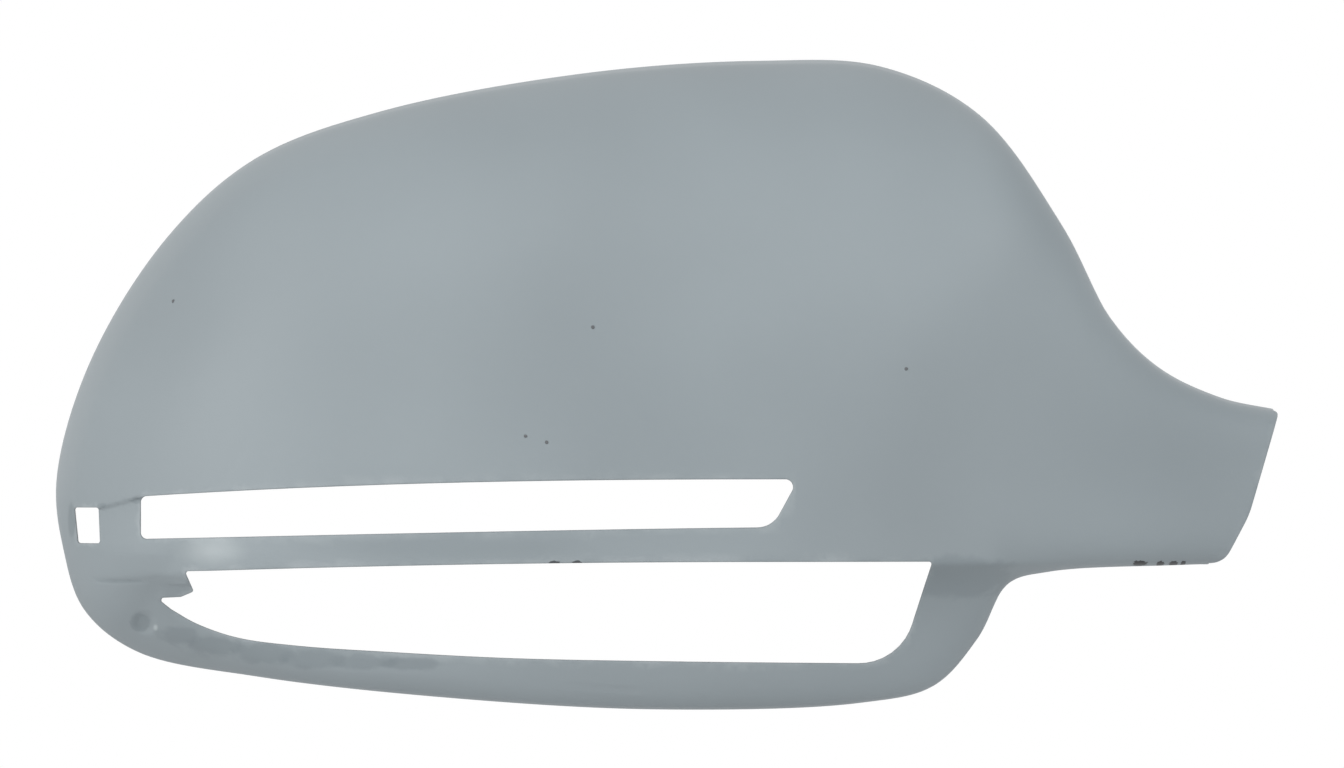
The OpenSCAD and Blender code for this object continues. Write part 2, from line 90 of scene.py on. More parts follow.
# The lower opening's lip: how far from the tooth and from its inner end, and how many points
LIP_ENDS = (3, 6, 16)
# The window's foot and the tooth's corners, as shares of the window's width and the tooth's size
WINDOW_FOOT = (1.06, 0.14)
TOOTH_HEAD, TOOTH_STEP, TOOTH_FALL, TOOTH_FOOT = 0.23, 0.35, 1.27, 1.33

# How fine the shell's mesh is: for each skin its rows of points, and one ray in how many has them
SKIN_ROWS = ((76, 1), (44, 2))
# The smallest gap between points, and the longest step of an opening's outline, in millimetres
POINT_GAP, OUTLINE_STEP = 0.45, 1.0
# Steps of a rounded corner and between two knots of the opening's foot, points along the seat and up
# a wall, and samples of a ray over the face and over its roll
ARC_STEPS, FOOT_STEPS = 8, 6
SEAT_POINTS, WALL_POINTS = 460, 16
FACE_SAMPLES, ROLL_SAMPLES = 110, 70
# The length of a flat stretch that earns a row of points, and how much a bend earns
FLAT_SPAN, BEND_WEIGHT = 2.0, 5

# Points of the tail end's corners, of the straights between them, and the softness of its kink
CORNER_POINTS, STRAIGHT_POINTS, KINK_SOFT = (5, 6, 10), (18, 7), 2
# How many points are looked up at once, and how close is the same place, a crossing or a flat face
CHUNK, SAME_PLACE, CROSSING, FLAT = 500, 1e-4, 1e-7, 1e-9
# Closer points in millimetres: rows along the recess, the sink line and the groove with the runs of
# the last two, and rings round the sink mark
RECESS_ROWS = (0.5, 0.15, -0.1, -0.25, -0.4, -0.6, -1.0)
LINE_RUN, LINE_ROWS = (-113, -101, 0.6), (-0.9, -0.45, 0, 0.45, 0.9)
GROOVE_RUN, GROOVE_ROWS = (-27, -3, 0.8), (-1.2, -0.6, 0, 0.6, 1.2)
SINK_RINGS, SINK_RING_GAP = 6, 0.52

# The evening out of the face near its outer end: grid in millimetres, rounds and share per round,
# the grid's ends, and where along the rays, above the fold and along the width it fades
EASE_GRID, EASE_ROUNDS, EASE_RATE = 1.5, 110, 0.22
EASE_RIGHT, EASE_BELOW, EASE_TOP = -0.05, 4, 0.45
EASE_RAY, EASE_FOLD, EASE_INLAND = (0.6, 0.3), (2, 8), (0.2, 0.12)

# The lamp recess and the sink mark: how far the recess runs under the window and the slot, and how
# softly it and the sink mark start
RECESS_REACH, RECESS_FADE, SINK_FADE = 2.5, 0.5, 0.5
# How the flute along the lower opening fades out, in millimetres, and how soft its edge is
FLUTE_LEAD, FLUTE_RISE, FLUTE_END, FLUTE_FADE, FLUTE_SOFT = 2, 5, -30, 30, 0.07
# How far below the fold the flute may start
BELOW_FOLD = 4
# The faint sink line at the outer end, in millimetres
LINE_DROP, LINE_ENDS, LINE_FADE = 1.2, (-112.6, -101.2), 1.5
LINE_HALF, LINE_DEPTH = 0.6, 0.5
# The shallow groove low on the band, in millimetres
GROOVE_X, GROOVE_Z, GROOVE_FALL = -25, -58.4, 0.068
GROOVE_ENDS, GROOVE_RISE, GROOVE_FADE = (-26, -3.6), 16, 2
GROOVE_HALF, GROOVE_DEPTH = 0.6, 0.2

# Pins: sides, a post's bevel, the fillet under a pin, its nose as a share of its width, and the angle
# in degrees from which an edge is sharp
PIN_SIDES, POST_BEVEL, PIN_FILLET, PIN_NOSE, SHARP_FROM = 48, 0.4, 0.2, 0.15, 32
# Hooks: places in knots of the rim, how far either side its direction is read, and a hook's bevel in
# metres
OUTER_HOOK, TOP_HOOKS, BOTTOM_HOOKS, TURN_REACH = 0.9, (2.8, 4.7), (21, 3), 0.7
HOOK_BEVEL = 0.00018
# A hook's catch and barb in heights of the barb, its tip in thicknesses, its webs in gaps between hook
# and wall, and how far the webs run into the hook in millimetres
HOOK_CATCH, BARB_FRONT, BARB_BACK, HOOK_TIP = 2.5, 0.2, 0.7, 0.6
WEB_REACH, WEB_OVERLAP = 1.5, 0.01
# Ribs: how far they run past the slot and start from the end in walls, the end rib's drop and the
# rounding in thicknesses, and the points along them
RIB_OUT, RIB_IN, END_RIB_START, END_RIB_DROP, RIB_ROUND = 1.6, 2.4, 3, 0.8, 0.22
SLOT_RIB_POINTS, END_RIB_POINTS = 90, 14

# Dust nibs in the primer: places in millimetres, radius in metres, flattening, turn from one to the
# next, and the range of their sizes
NIB_PLACES = [(46.6, 3.1), (-27.5, -10), (-23.4, -11.2), (-14.4, 11.2), (-96.4, 16.3)]
NIB_RADIUS, NIB_FLAT, NIB_TURN = 0.00038, (1.0, 0.45, 0.85), 0.4
NIB_SIZES = (0.7, 1.1)

# Softboxes: place, aim and size in metres, watts, tint, and the property that scales the watts
SOFTBOXES = {
    "Left softbox": ((-1.35, -1.2, 0.5), (-0.03, 0, 0), (1.3, 1.3), 16.6, (1.0, 0.995, 0.985), "key_power"),
    "Right softbox": ((1.35, -1.5, 0.3), (0.04, 0, 0), (0.4, 1.5), 10.5, (0.985, 0.995, 1.0), "fill_power"),
    "Top softbox": ((0.0, 0.5, 1.3), (0, 0, 0), (1.4, 1.0), 2, (1.0, 1.0, 1.0), "top_power"),
    "Low softbox": ((0.15, -3.3, 0.12), (0, 0, -0.03), (1.8, 0.5), 7.5, (1.0, 1.0, 1.0), "low_power"),
}
# The soft light all round, the floor's half width in metres, and the camera's sensor and clipping
AMBIENT, AMBIENT_TINT = 0.58, (0.93, 0.97, 1.0, 1)
FLOOR_HALF, SENSOR, CLIP = 4.0, 36, (0.5, 60)

# The primer's gloss, the height of its grain in metres with its strength, and the scale and detail
# of the fine grain and of the orange peel
GLOSS, GRAIN_HEIGHT, GRAIN_BUMP = 0.25, 0.00025, 0.35
FINE_GRAIN, ORANGE_PEEL, PEEL_SHARE = (2600.0, 2.0), (420.0, 1.0), 0.6
# The rubbed tone, the bare plastic behind the face, and the overspray on it as a share at the seat
# and the millimetres over which it thins out
RUBBED, BARE = (0.5, 0.53, 0.54, 1), (0.05, 0.053, 0.056, 1)
OVERSPRAY, OVERSPRAY_REACH = 0.5, 6.0
# Slow tone, broken rubbing and misty overspray: the noise's scale and detail, and from which range to
# which its values are taken
SLOW_TONE, SLOW_ENDS = (14.0, 2.0), (0.3, 0.7, -1.0, 1.0)
EDGE_BREAK, EDGE_ENDS = (160.0, 4.0), (0.4, 0.65, 0.0, 1.0)
MIST, MIST_ENDS = (26.0, 5.0), (0.3, 0.7, 0.6, 1.0)
# Dust and floor: colour and roughness
DUST, DUST_ROUGH = (0.12, 0.125, 0.13), 0.7
FLOOR_TONE, FLOOR_ROUGH = (0.8, 0.8, 0.8), 0.9

# Painted shade and painted highlights on the primer, and two small black marks: centre and size seen
# from the front in metres, softness, scale and strength of the broken outline, amount and tint; the
# depth is that of the face's middle
PATCH_DEPTH, PATCH_DETAIL = -0.03, 3.0
# Tints: painted shade, painted highlight, and black for the darkest painted shade and two small marks
PAINTED_SHADE, PAINTED_HIGHLIGHT, BLACK = (0.19, 0.22, 0.235), (0.62, 0.66, 0.66), (0.02, 0.02, 0.022)
PATCHES = [
    # Painted highlight on the bar's rounded lower edge below the lamp slot
    ((-0.0889, -0.0322), (0.0085, 0.0045), 1.0, 200.0, 0.3, 0.28, PAINTED_HIGHLIGHT),
    # Painted shade on the middle of the bar between the lamp slot and the lower opening
    ((-0.0420, -0.0315), (0.0360, 0.0050), 0.8, 120.0, 0.3, 0.36, PAINTED_SHADE),
    # Broad painted shade over the middle of the face
    ((-0.0050, -0.0060), (0.0800, 0.0460), 1.0, 30.0, 0.3, 0.28, PAINTED_SHADE),
    # Painted shade in the sink mark and a painted glint on its rim
    ((-0.1031, -0.0465), (0.0023, 0.0021), 0.3, 500.0, 0.6, 0.42, PAINTED_SHADE),
    ((-0.1001, -0.0475), (0.0006, 0.0008), 0.8, 900.0, 0.5, 0.4, PAINTED_HIGHLIGHT),
    # Painted shade along the sink line
    ((-0.1072, -0.0384), (0.0058, 0.0006), 0.6, 500.0, 0.5, 0.35, PAINTED_SHADE),
    # Painted shadow under the lamp recess's upper step
    ((-0.1035, -0.0226), (0.0016, 0.0008), 0.5, 900.0, 1.2, 0.45, PAINTED_SHADE),
    ((-0.1105, -0.0236), (0.0012, 0.0007), 0.5, 900.0, 1.2, 0.4, PAINTED_SHADE),
    # Painted shade on the left walls of the clip window and the lamp slot; the dark bare plastic of the cut
    # edges shows there too
    ((-0.1165, -0.0265), (0.0009, 0.0042), 0.4, 900.0, 0.4, 0.55, PAINTED_SHADE),
    ((-0.1023, -0.0262), (0.0008, 0.0044), 0.4, 900.0, 0.4, 0.55, PAINTED_SHADE),
    # Painted shade along the flute under the lower opening, where its upper side faces down
    ((-0.0955, -0.0490), (0.0052, 0.0024), 0.5, 350.0, 0.9, 0.42, PAINTED_SHADE),
    ((-0.0885, -0.0510), (0.0070, 0.0027), 0.5, 350.0, 0.9, 0.42, PAINTED_SHADE),
    ((-0.0790, -0.0525), (0.0080, 0.0027), 0.5, 350.0, 0.9, 0.42, PAINTED_SHADE),
    ((-0.0690, -0.0536), (0.0080, 0.0024), 0.5, 350.0, 0.9, 0.42, PAINTED_SHADE),
    ((-0.0590, -0.0541), (0.0080, 0.0021), 0.5, 350.0, 0.9, 0.42, PAINTED_SHADE),
    ((-0.0500, -0.0545), (0.0080, 0.0016), 0.5, 350.0, 0.9, 0.42, PAINTED_SHADE),
    # Broad painted shade over the tail
    ((0.0990, -0.0130), (0.0330, 0.0330), 1.0, 40.0, 0.3, 0.27, PAINTED_SHADE),
    # Painted shade on the arm just below the fold, which faces down there
    ((0.0570, -0.0375), (0.0130, 0.0050), 0.35, 300.0, 0.7, 0.4, PAINTED_SHADE),
    # Near-black painted shade along the fold at the tail, where the lower edge turns under
    ((0.0926, -0.0350), (0.0015, 0.0006), 0.1, 1400.0, 1.5, 1.0, BLACK),
    ((0.0967, -0.0351), (0.0008, 0.0006), 0.1, 1400.0, 1.2, 1.0, BLACK),
    ((0.0993, -0.0351), (0.0009, 0.0006), 0.1, 1400.0, 1.2, 1.0, BLACK),
    ((0.1012, -0.0350), (0.0005, 0.0006), 0.1, 1400.0, 1.0, 1.0, BLACK),
    # Two small black marks on the lower opening's upper edge
    ((-0.0220, -0.0346), (0.0012, 0.0004), 0.2, 900.0, 2.0, 0.8, BLACK),
    ((-0.0175, -0.0346), (0.0012, 0.0004), 0.2, 900.0, 2.0, 0.8, BLACK),
]


def length(name, millimetres, text):
    return bpy.props.FloatProperty(
        name=name, description=text, default=millimetres / 1000, unit="LENGTH", precision=5
    )


def angle(name, degrees, text):
    return bpy.props.FloatProperty(
        name=name, description=text, default=math.radians(degrees), subtype="ANGLE"
    )


def count(name, number, text, low, high):
    return bpy.props.IntProperty(name=name, description=text, default=number, min=low, max=high)


def share(name, value, text, low=0.0, high=1.0):
    return bpy.props.FloatProperty(name=name, description=text, default=value, min=low, max=high)


def power(name, place):
    return share(name, 1.0, "Strength of the softbox " + place + ", against its usual strength", 0, 4)


def mm(metres):
    return metres * 1000


class MirrorCoverShell(bpy.types.PropertyGroup):
    width: length("Width", 240, "Width of the cover, outer end to tail tip")
    height: length("Height", 128, "Height of the cover, top to bottom")
    seat_depth: length("Seat depth", 64, "Depth from the front of the face to the seat plane, at mid height")
    seat_tilt: angle("Seat tilt", 11, "Lean of the seat plane, top edge further back")
    wall: length("Wall", 2.5, "Wall thickness of the moulding")
    draft: angle("Draft", 1.5, "Draft of the side walls")
    belt_rise: length("Belt rise", 13, "Height above the fold at which the face stands furthest forward")
    crown_across: length("Crown across", 700, "Radius of the face's crown along its width")
    crown_up: length("Crown up", 300, "Radius of the face's crown over its height")
    roll_outer: length("Roll, outer end", 38, "Depth of the rolled edge at the outer end")
    roll_top: length("Roll, top", 24, "Depth of the rolled edge along the top")
    roll_tail: length("Roll, tail", 8, "Depth of the rolled edge along the tail")
    roll_bottom: length("Roll, bottom", 8, "Depth of the rolled edge along the bottom")
    tail_sweep: angle("Tail sweep", 21, "Angle at which the tail sweeps back from the face")
    tail_bend: length("Tail bend", 7, "Softness of the bend between the face and the tail")
    tail_lean: angle("Tail lean", 16.3, "Lean of the tail's end")
    heel_height: length("Heel height", 9.8, "Height of the tail end's lower part, which slants more")
    heel_lean: angle("Heel lean", 28, "Lean of that lower part")
    tail_corner: length("Tail corner", 2.6, "Size of the rounding of the tail's lower corner")
    fold_rise: length("Fold rise", 28.9, "Height of the fold above the cover's foot")
    fold_drop: length("Fold drop", 2, "Drop of the fold towards the outer end")
    fold_round: length("Fold rounding", 0.25, "Softness of the fold's corner")
    chin_depth: length("Chin depth", 18, "Distance that the chin lies behind the face")
    chin_fall: length("Chin fall", 8, "Fall below the fold over which the chin settles")
    edge_round: length("Edge rounding", 0.35, "Rounding of the moulding's cut edges")


class MirrorCoverOpenings(bpy.types.PropertyGroup):
    slot_margin: length("Slot margin", 17.3, "Distance from the outer end of the cover to the lamp slot")
    slot_tail_gap: length("Slot to tail", 94.4, "Distance from the lamp slot to the tail tip")
    slot_rise: length("Slot rise", 16.7, "Height of the slot's upper edge above the fold")
    slot_height: length("Slot height", 9.3, "Height of the lamp slot at its inner end")
    slot_top_drop: length("Upper edge drop", 3.4, "Drop of the slot's upper edge at the outer end")
    slot_foot_drop: length("Lower edge drop", 2.4, "Drop of the slot's lower edge at the outer end")
    slot_slant: length("Slot slant", 5.1, "Run of the slot's slanted inner end")
    slot_corner: length("Slot corner", 4.9, "Radius of the slot's lower inner corner")
    window_margin: length("Window margin", 4.1, "Distance from the outer end of the cover to the clip window")
    window_width: length("Window width", 4.8, "Width of the clip window")
    window_height: length("Window height", 7, "Height of the clip window")
    window_drop: length("Window drop", 2.2, "Distance of the window below the slot's upper edge")
    recess_depth: length("Recess depth", 1.2, "Depth of the lamp recess at its upper edge")
    opening_margin: length("Opening margin", 20.3, "Distance from the cover's outer end to the lower opening")
    opening_tail_gap: length("Opening to tail", 68.2, "Distance from the lower opening to the tail tip")
    opening_height: length("Opening height", 19.4, "Height of the lower opening below the fold")
    opening_lip: length("Opening lip", 0.6, "Distance of the opening's upper edge above the fold")
    opening_slant: length("Opening slant", 6.3, "Run of the opening's slanted inner end")
    opening_corner: length("Opening corner", 10.8, "Radius of the opening's lower inner corner")
    tooth_length: length("Tooth length", 7.3, "Length of the tooth at the opening's tip")
    tooth_height: length("Tooth height", 4, "Height of the tooth")
    sink_width: length("Sink mark", 5.2, "Diameter of the sink mark in front of the outer post")
    sink_depth: length("Sink depth", 0.9, "Depth of the sink mark")
    flute_depth: length("Flute depth", 1.5, "Depth of the flute along the lower opening")
    flute_width: length("Flute width", 4.2, "Width of the flute along the lower opening")


class MirrorCoverFixings(bpy.types.PropertyGroup):
    hook_width: length("Hook width", 12, "Width of a snap hook along the wall")
    hook_thickness: length("Hook thickness", 1.8, "Thickness of a snap hook")
    hook_length: length("Hook length", 11, "Length of a snap hook")
    hook_gap: length("Hook gap", 2, "Gap between a hook and the wall behind it")
    hook_barb: length("Hook barb", 1.2, "Height of a hook's barb")
    hook_inset: length("Hook inset", 2, "Distance of the hook tips from the seat plane")
    top_hooks: count("Top hooks", 3, "Number of hooks along the top", 2, 4)
    bottom_hooks: count("Bottom hooks", 2, "Number of hooks along the bottom", 1, 3)
    pin_margin: length("Outer pin margin", 17.9, "Distance from the outer end of the cover to the outer pin")
    pin_drop: length("Outer pin drop", 11.4, "Distance of the outer pin below the fold")
    pin_tail_gap: length("Inner pin to tail", 45, "Distance from the inner pin to the tail tip")
    pin_width: length("Pin diameter", 3.2, "Diameter of a locating pin")
    pin_length: length("Pin length", 8, "Length of a locating pin above its post")
    post_width: length("Post diameter", 6.4, "Diameter of the post under a pin")
    pin_inset: length("Pin inset", 4, "Distance of the pin tips from the seat plane")
    rib_thickness: length("Rib thickness", 1.5, "Thickness of a stiffening rib")
    rib_height: length("Rib height", 3, "Height of a stiffening rib above the wall")
    rib_gap: length("Rib gap", 2, "Distance of the slot ribs from the edge of the slot")


class MirrorCoverFinish(bpy.types.PropertyGroup):
    colour: bpy.props.FloatVectorProperty(
        name="Primer colour", description="Colour of the grey primer", subtype="COLOR", size=3,
        default=(0.292, 0.326, 0.343),
    )
    roughness: share("Roughness", 0.48, "Roughness of the primer")
    grain: share("Grain", 0.12, "Strength of the sprayed primer's fine grain")
    drift: share("Colour drift", 0.06, "Strength of the slow change of tone over the face")
    rub: share("Edge rub", 0.25, "Strength of the rubbed tone along the cut edges")
    bare: share("Bare inside", 0.8, "How much of the dark plastic shows behind the face")
    # Patches: strength of the painted shade and painted highlights in the patch list, and of two small black
    # marks; they are not scuffs
    patches: share("Patches", 1.0, "Strength of the patches and scuffs on the primer")


class MirrorCoverStage(bpy.types.PropertyGroup):
    distance: length("Camera distance", 6000, "Distance of the camera from the seat plane")
    frame_width: length("Frame width", 264.4, "Width that the picture takes in at the cover's middle depth")
    look_x: length("Look-at X", 1.0, "Place along the cover that the camera looks at")
    look_z: length("Look-at Z", 0.15, "Height that the camera looks at")
    floor_drop: length("Floor drop", 200, "Distance of the floor below the cover's middle")
    key_power: power("Left softbox", "on the left")
    fill_power: power("Right softbox", "on the right")
    top_power: power("Top softbox", "above and behind")
    low_power: power("Low softbox", "low in front")


# Curves and shapes in plan, all in millimetres as (x, z)


def unit(v):
    return v / np.maximum(np.linalg.norm(v, axis=-1, keepdims=True), 1e-12)


def smooth(t):
    t = np.clip(t, 0, 1)
    return t * t * (3 - 2 * t)


def soft_ramp(d, w):
    return w * np.logaddexp(0, d / w)


def spline(a, b, c, d, t):
    """Points of a centripetal spline between the middle two of four knots."""
    p, q, r = (math.sqrt(np.linalg.norm(v)) for v in (b - a, c - b, d - c))
    ma = c - b + q * ((b - a) / p - (c - a) / (p + q))
    mb = c - b + q * ((d - c) / r - (d - b) / (q + r))
    t = np.asarray(t)[:, None]
    start, end = (2 * t**3 - 3 * t**2 + 1) * b, (3 * t**2 - 2 * t**3) * c
    return start + (t**3 - 2 * t**2 + t) * ma + end + (t**3 - t**2) * mb


def spline_loop(knots, steps):
    n = len(knots)
    t = np.arange(steps) / steps
    return np.concatenate([spline(*(knots[(i + k) % n] for k in (-1, 0, 1, 2)), t) for i in range(n)])


def spline_run(knots, steps):
    k = np.concatenate([[2 * knots[0] - knots[1]], knots, [2 * knots[-1] - knots[-2]]])
    t = np.arange(steps) / steps
    parts = [spline(k[i], k[i + 1], k[i + 2], k[i + 3], t) for i in range(len(knots) - 1)]
    return np.concatenate(parts + [knots[-1:]])


def between(x, start, end, rise, fall):
    """1 between two ends, with a soft rise after the first and a soft fall before the second."""
    return smooth((x - start) / rise) * smooth((end - x) / fall)


def crease(away, half):
    """1 in the middle of a crease, down to 0 at half its width."""
    return 1 - smooth(np.abs(away) / half)


def rounded(corners):
    """A closed outline from corners given as (x, z, radius)."""
    out = []
    n = len(corners)
    for i in range(n):
        b, r = np.array(corners[i][:2], float), corners[i][2]
        if r <= 0:
            out.append(b)
            continue
        u, v = (unit(np.array(corners[j % n][:2], float) - b) for j in (i - 1, i + 1))
        half = math.acos(float(np.clip(u @ v, -1, 1))) / 2
        centre = b + unit(u + v) * r / math.sin(half)
        start, end = (b + w * r / math.tan(half) - centre for w in (u, v))
        for k in range(ARC_STEPS + 1):
            out.append(centre + r * unit(start * (1 - k / ARC_STEPS) + end * k / ARC_STEPS))
    return np.array(out)


def even(loop, step):
    """The same closed outline with no stretch longer than a step."""
    out = []
    for a, b in zip(loop, np.roll(loop, -1, axis=0)):
        n = max(1, math.ceil(np.linalg.norm(b - a) / step))
        out += [a + (b - a) * k / n for k in range(n)]
    return np.array(out)


def side_of(loop):
    """Unit normals of a closed outline, to the left of its run."""
    along = unit(np.roll(loop, -1, axis=0) - np.roll(loop, 1, axis=0))
    return np.stack([-along[:, 1], along[:, 0]], axis=1)


def area(loop):
    a, b = loop, np.roll(loop, -1, axis=0)
    return float((a[:, 0] * b[:, 1] - a[:, 1] * b[:, 0]).sum() / 2)


def odd_crossings(points, loops):
    """Whether each point lies inside an odd number of the outlines."""
    odd = np.zeros(len(points), bool)
    for loop in loops:
        for a, b in zip(loop, np.roll(loop, -1, axis=0)):
            if a[1] == b[1]:
                continue
            level = (points[:, 1] >= min(a[1], b[1])) & (points[:, 1] < max(a[1], b[1]))
            odd ^= level & (points[:, 0] < a[0] + (points[:, 1] - a[1]) * (b[0] - a[0]) / (b[1] - a[1]))
    return odd


class Shape:
    """The cover's two skins, as a loft of rays from a spine out to the rolled edge and back to the seat."""

    def __init__(self, shell, openings, fixings):
        s = self.s = shell
        o = self.o = openings
        self.w, self.h, self.wall = mm(s.width), mm(s.height), mm(s.wall)
        self.left, self.right = -self.w / 2, self.w / 2
        self.fold = mm(s.fold_rise) - self.h / 2
        self.belt = self.fold + mm(s.belt_rise)
        self.slot_left = self.left + mm(o.slot_margin)
        self.slot_right = self.right - mm(o.slot_tail_gap)
        self.slot_z = self.fold + mm(o.slot_rise)
        self.window_left = self.left + mm(o.window_margin)
        self.window_top = float(self.slot_top(self.slot_left)) - mm(o.window_drop)
        self.pin = np.array([self.left + mm(fixings.pin_margin), self.fold - mm(fixings.pin_drop)])
        self.inner_pin = np.array([self.right - mm(fixings.pin_tail_gap), INNER_PIN_UP * self.h])
        knots = np.array(RIM_KNOTS) * [self.w / 100, self.h / 100]
        self.ease = None
        self.foot = self.opening_foot()
        self.rim = spline_loop(knots, KNOT_STEPS)
        self.n = len(self.rim)
        self.lean = unit(self.rim - self.spine_at(self.rim))
        start = self.face_y(self.rim, 0) + self.roll(self.rim)[0]
        edge = self.rim - math.tan(s.draft) * (self.seat_y(self.rim[:, 1]) - start)[:, None] * self.lean
        self.inward = -side_of(self.rim)
        self.edge = [edge, edge + self.wall * self.inward]
        self.spine = self.spine_at(edge)
        self.depth, self.power = self.roll(edge)
        self.rays = [unit(e - self.spine) for e in self.edge]
        self.ease = self.easing()
        self.tables = [self.profiles(k) for k in (0, 1)]

    # Depths of the face, back from its foremost plane

    def slot_share(self, x):
        return np.maximum(0, (self.slot_right - x) / (self.slot_right - self.slot_left))

    def slot_top(self, x):
        return self.slot_z - mm(self.o.slot_top_drop) * self.slot_share(x) ** SLOT_TOP_CURVE

    def slot_foot(self, x):
        o = self.o
        fall = mm(o.slot_foot_drop) * self.slot_share(x) ** SLOT_FOOT_CURVE
        return self.slot_z - mm(o.slot_height) - fall

    def fold_at(self, x):
        out = np.maximum(0, FOLD_START * self.w - x) / (FOLD_RUN * self.w)
        return self.fold - mm(self.s.fold_drop) * out**2

    def smooth_y(self, p):
        """Depth of the face without its fold and marks: two crowns and the bend to the tail."""
        s = self.s
        x, z = p[..., 0], p[..., 1]
        bend = self.w / BEND_PART + BEND_LEAN * z + BEND_CURVE * z**2 / self.h
        return (
            x**2 / (2 * mm(s.crown_across))
            + (z - self.belt) ** 2 / (2 * mm(s.crown_up))
            + math.tan(s.tail_sweep) * soft_ramp(x - bend, mm(s.tail_bend))
        )

    def face_y(self, p, skin):
        """Depth of a skin's face at points in plan; the inner skin lies a wall behind the outer."""
        s = self.s
        y = self.smooth_y(p)
        fold = self.fold_at(p[..., 0])
        if skin:
            w = self.wall
            slope = s.chin_depth / s.chin_fall
            fold = fold + w * (math.sqrt(1 + slope**2) - 1) / slope
            gx = self.smooth_y(p + np.array([w, 0])) - y
            gz = self.smooth_y(p + np.array([0, w])) - y
            y = y + np.sqrt(w**2 + gx**2 + gz**2)
        chin = mm(s.chin_depth) * smooth((p[..., 0] - self.left) / (CHIN_RUN * self.w) - CHIN_WAIT)
        below = soft_ramp(fold - p[..., 1], mm(s.fold_round))
        y = y + chin * (1 - np.exp(-below / mm(s.chin_fall)))
        if self.ease is None:
            return y
        y = y + self.eased(p)
        return y if skin else y + self.marks(p)

    def easing(self):
        """A small shift of the face that evens it out where the outer end's roll meets the others."""
        h = EASE_GRID
        x = np.arange(self.left, EASE_RIGHT * self.w, h)
        z = np.arange(self.fold - EASE_BELOW, EASE_TOP * self.h, h)
        grid = np.stack(np.meshgrid(x, z, indexing="ij"), axis=-1)
        i, t = self.from_plan(grid.reshape(-1, 2), 0)
        start = self.point(i, t, 0)[:, 1].reshape(grid.shape[:2])
        t = t.reshape(start.shape)
        before_edge = 1 - smooth((t - EASE_RAY[0]) / EASE_RAY[1])
        above_fold = smooth((grid[..., 1] - self.fold - EASE_FOLD[0]) / EASE_FOLD[1])
        outer_part = 1 - smooth((grid[..., 0] + EASE_INLAND[0] * self.w) / (EASE_INLAND[1] * self.w))
        part = before_edge * above_fold * outer_part
        part[[0, -1]] = 0
        part[:, [0, -1]] = 0
        y = start.copy()
        for _ in range(EASE_ROUNDS):
            around = np.roll(y, 1, 0) + np.roll(y, -1, 0) + np.roll(y, 1, 1) + np.roll(y, -1, 1)
            y += EASE_RATE * part * (around - 4 * y)
        return x[0], z[0], h, y - start

    def eased(self, p):
        """That shift at points in plan, read off its grid."""
        x0, z0, h, shift = self.ease
        i = np.clip((p[..., 0] - x0) / h, 0, shift.shape[0] - 1.001)
        k = np.clip((p[..., 1] - z0) / h, 0, shift.shape[1] - 1.001)
        a, b = i.astype(int), k.astype(int)
        f, g = i - a, k - b
        low = shift[a, b] * (1 - g) + shift[a, b + 1] * g
        high = shift[a + 1, b] * (1 - g) + shift[a + 1, b + 1] * g
        return low * (1 - f) + high * f

    def opening_ends(self):
        """The lower opening's outer and inner end, and its lower inner corner."""
        o = self.o
        left, right = self.left + mm(o.opening_margin), self.right - mm(o.opening_tail_gap)
        return left, right, np.array([right - mm(o.opening_slant), self.fold - mm(o.opening_height)])

    def opening_foot(self):
        """The lower edge of the lower opening, from its inner corner to its tip."""
        left, _, corner = self.opening_ends()
        size = [(corner[0] - left) / 100, mm(self.o.opening_height) / 100]
        return spline_run(corner + np.array(FOOT_KNOTS) * size, FOOT_STEPS)

    def sink_line_z(self):
        return self.fold - mm(self.s.fold_drop) - LINE_DROP

    def marks(self, p):
        """The lamp recess, the sink mark and line, the flute and the band's groove on the outer skin."""
        o = self.o
        x, z = p[..., 0], p[..., 1]
        x0 = self.window_left + mm(o.window_width)
        across = np.clip((x - x0) / (self.slot_left - x0), 0, 1)
        top = self.window_top + mm(o.window_drop) * across
        foot = self.window_top - mm(o.window_height)
        inside = (x > x0 - RECESS_REACH) & (x < self.slot_left + RECESS_REACH)
        recess = mm(o.recess_depth) * smooth((top - z) / RECESS_FADE)
        recess = recess * np.clip((z - foot) / (top - foot), 0, 1)
        far = np.hypot(x - self.pin[0], z - self.pin[1]) / (mm(o.sink_width) / 2)
        sink = mm(o.sink_depth) * (1 - smooth((far - 1 + SINK_FADE) / SINK_FADE))
        depth = np.where(inside, recess, 0) + sink
        below = np.interp(x, self.foot[::-1, 0], self.foot[::-1, 1]) - z
        flute = soft_ramp(1 - np.maximum(below, 0) / mm(o.flute_width), FLUTE_SOFT)
        flute = flute * between(x, self.foot[-1, 0] - FLUTE_LEAD, FLUTE_END, FLUTE_RISE, FLUTE_FADE)
        depth = depth + np.where(z < self.fold - BELOW_FOLD, mm(o.flute_depth) * flute, 0)
        line = crease(z - self.sink_line_z(), LINE_HALF) * between(x, *LINE_ENDS, LINE_FADE, LINE_FADE)
        groove = crease(z - GROOVE_Z + GROOVE_FALL * (x - GROOVE_X), GROOVE_HALF)
        groove = groove * between(x, *GROOVE_ENDS, GROOVE_RISE, GROOVE_FADE)
        return depth + LINE_DEPTH * line + GROOVE_DEPTH * groove

    def seat_y(self, z):
        return mm(self.s.seat_depth) + math.tan(self.s.seat_tilt) * z

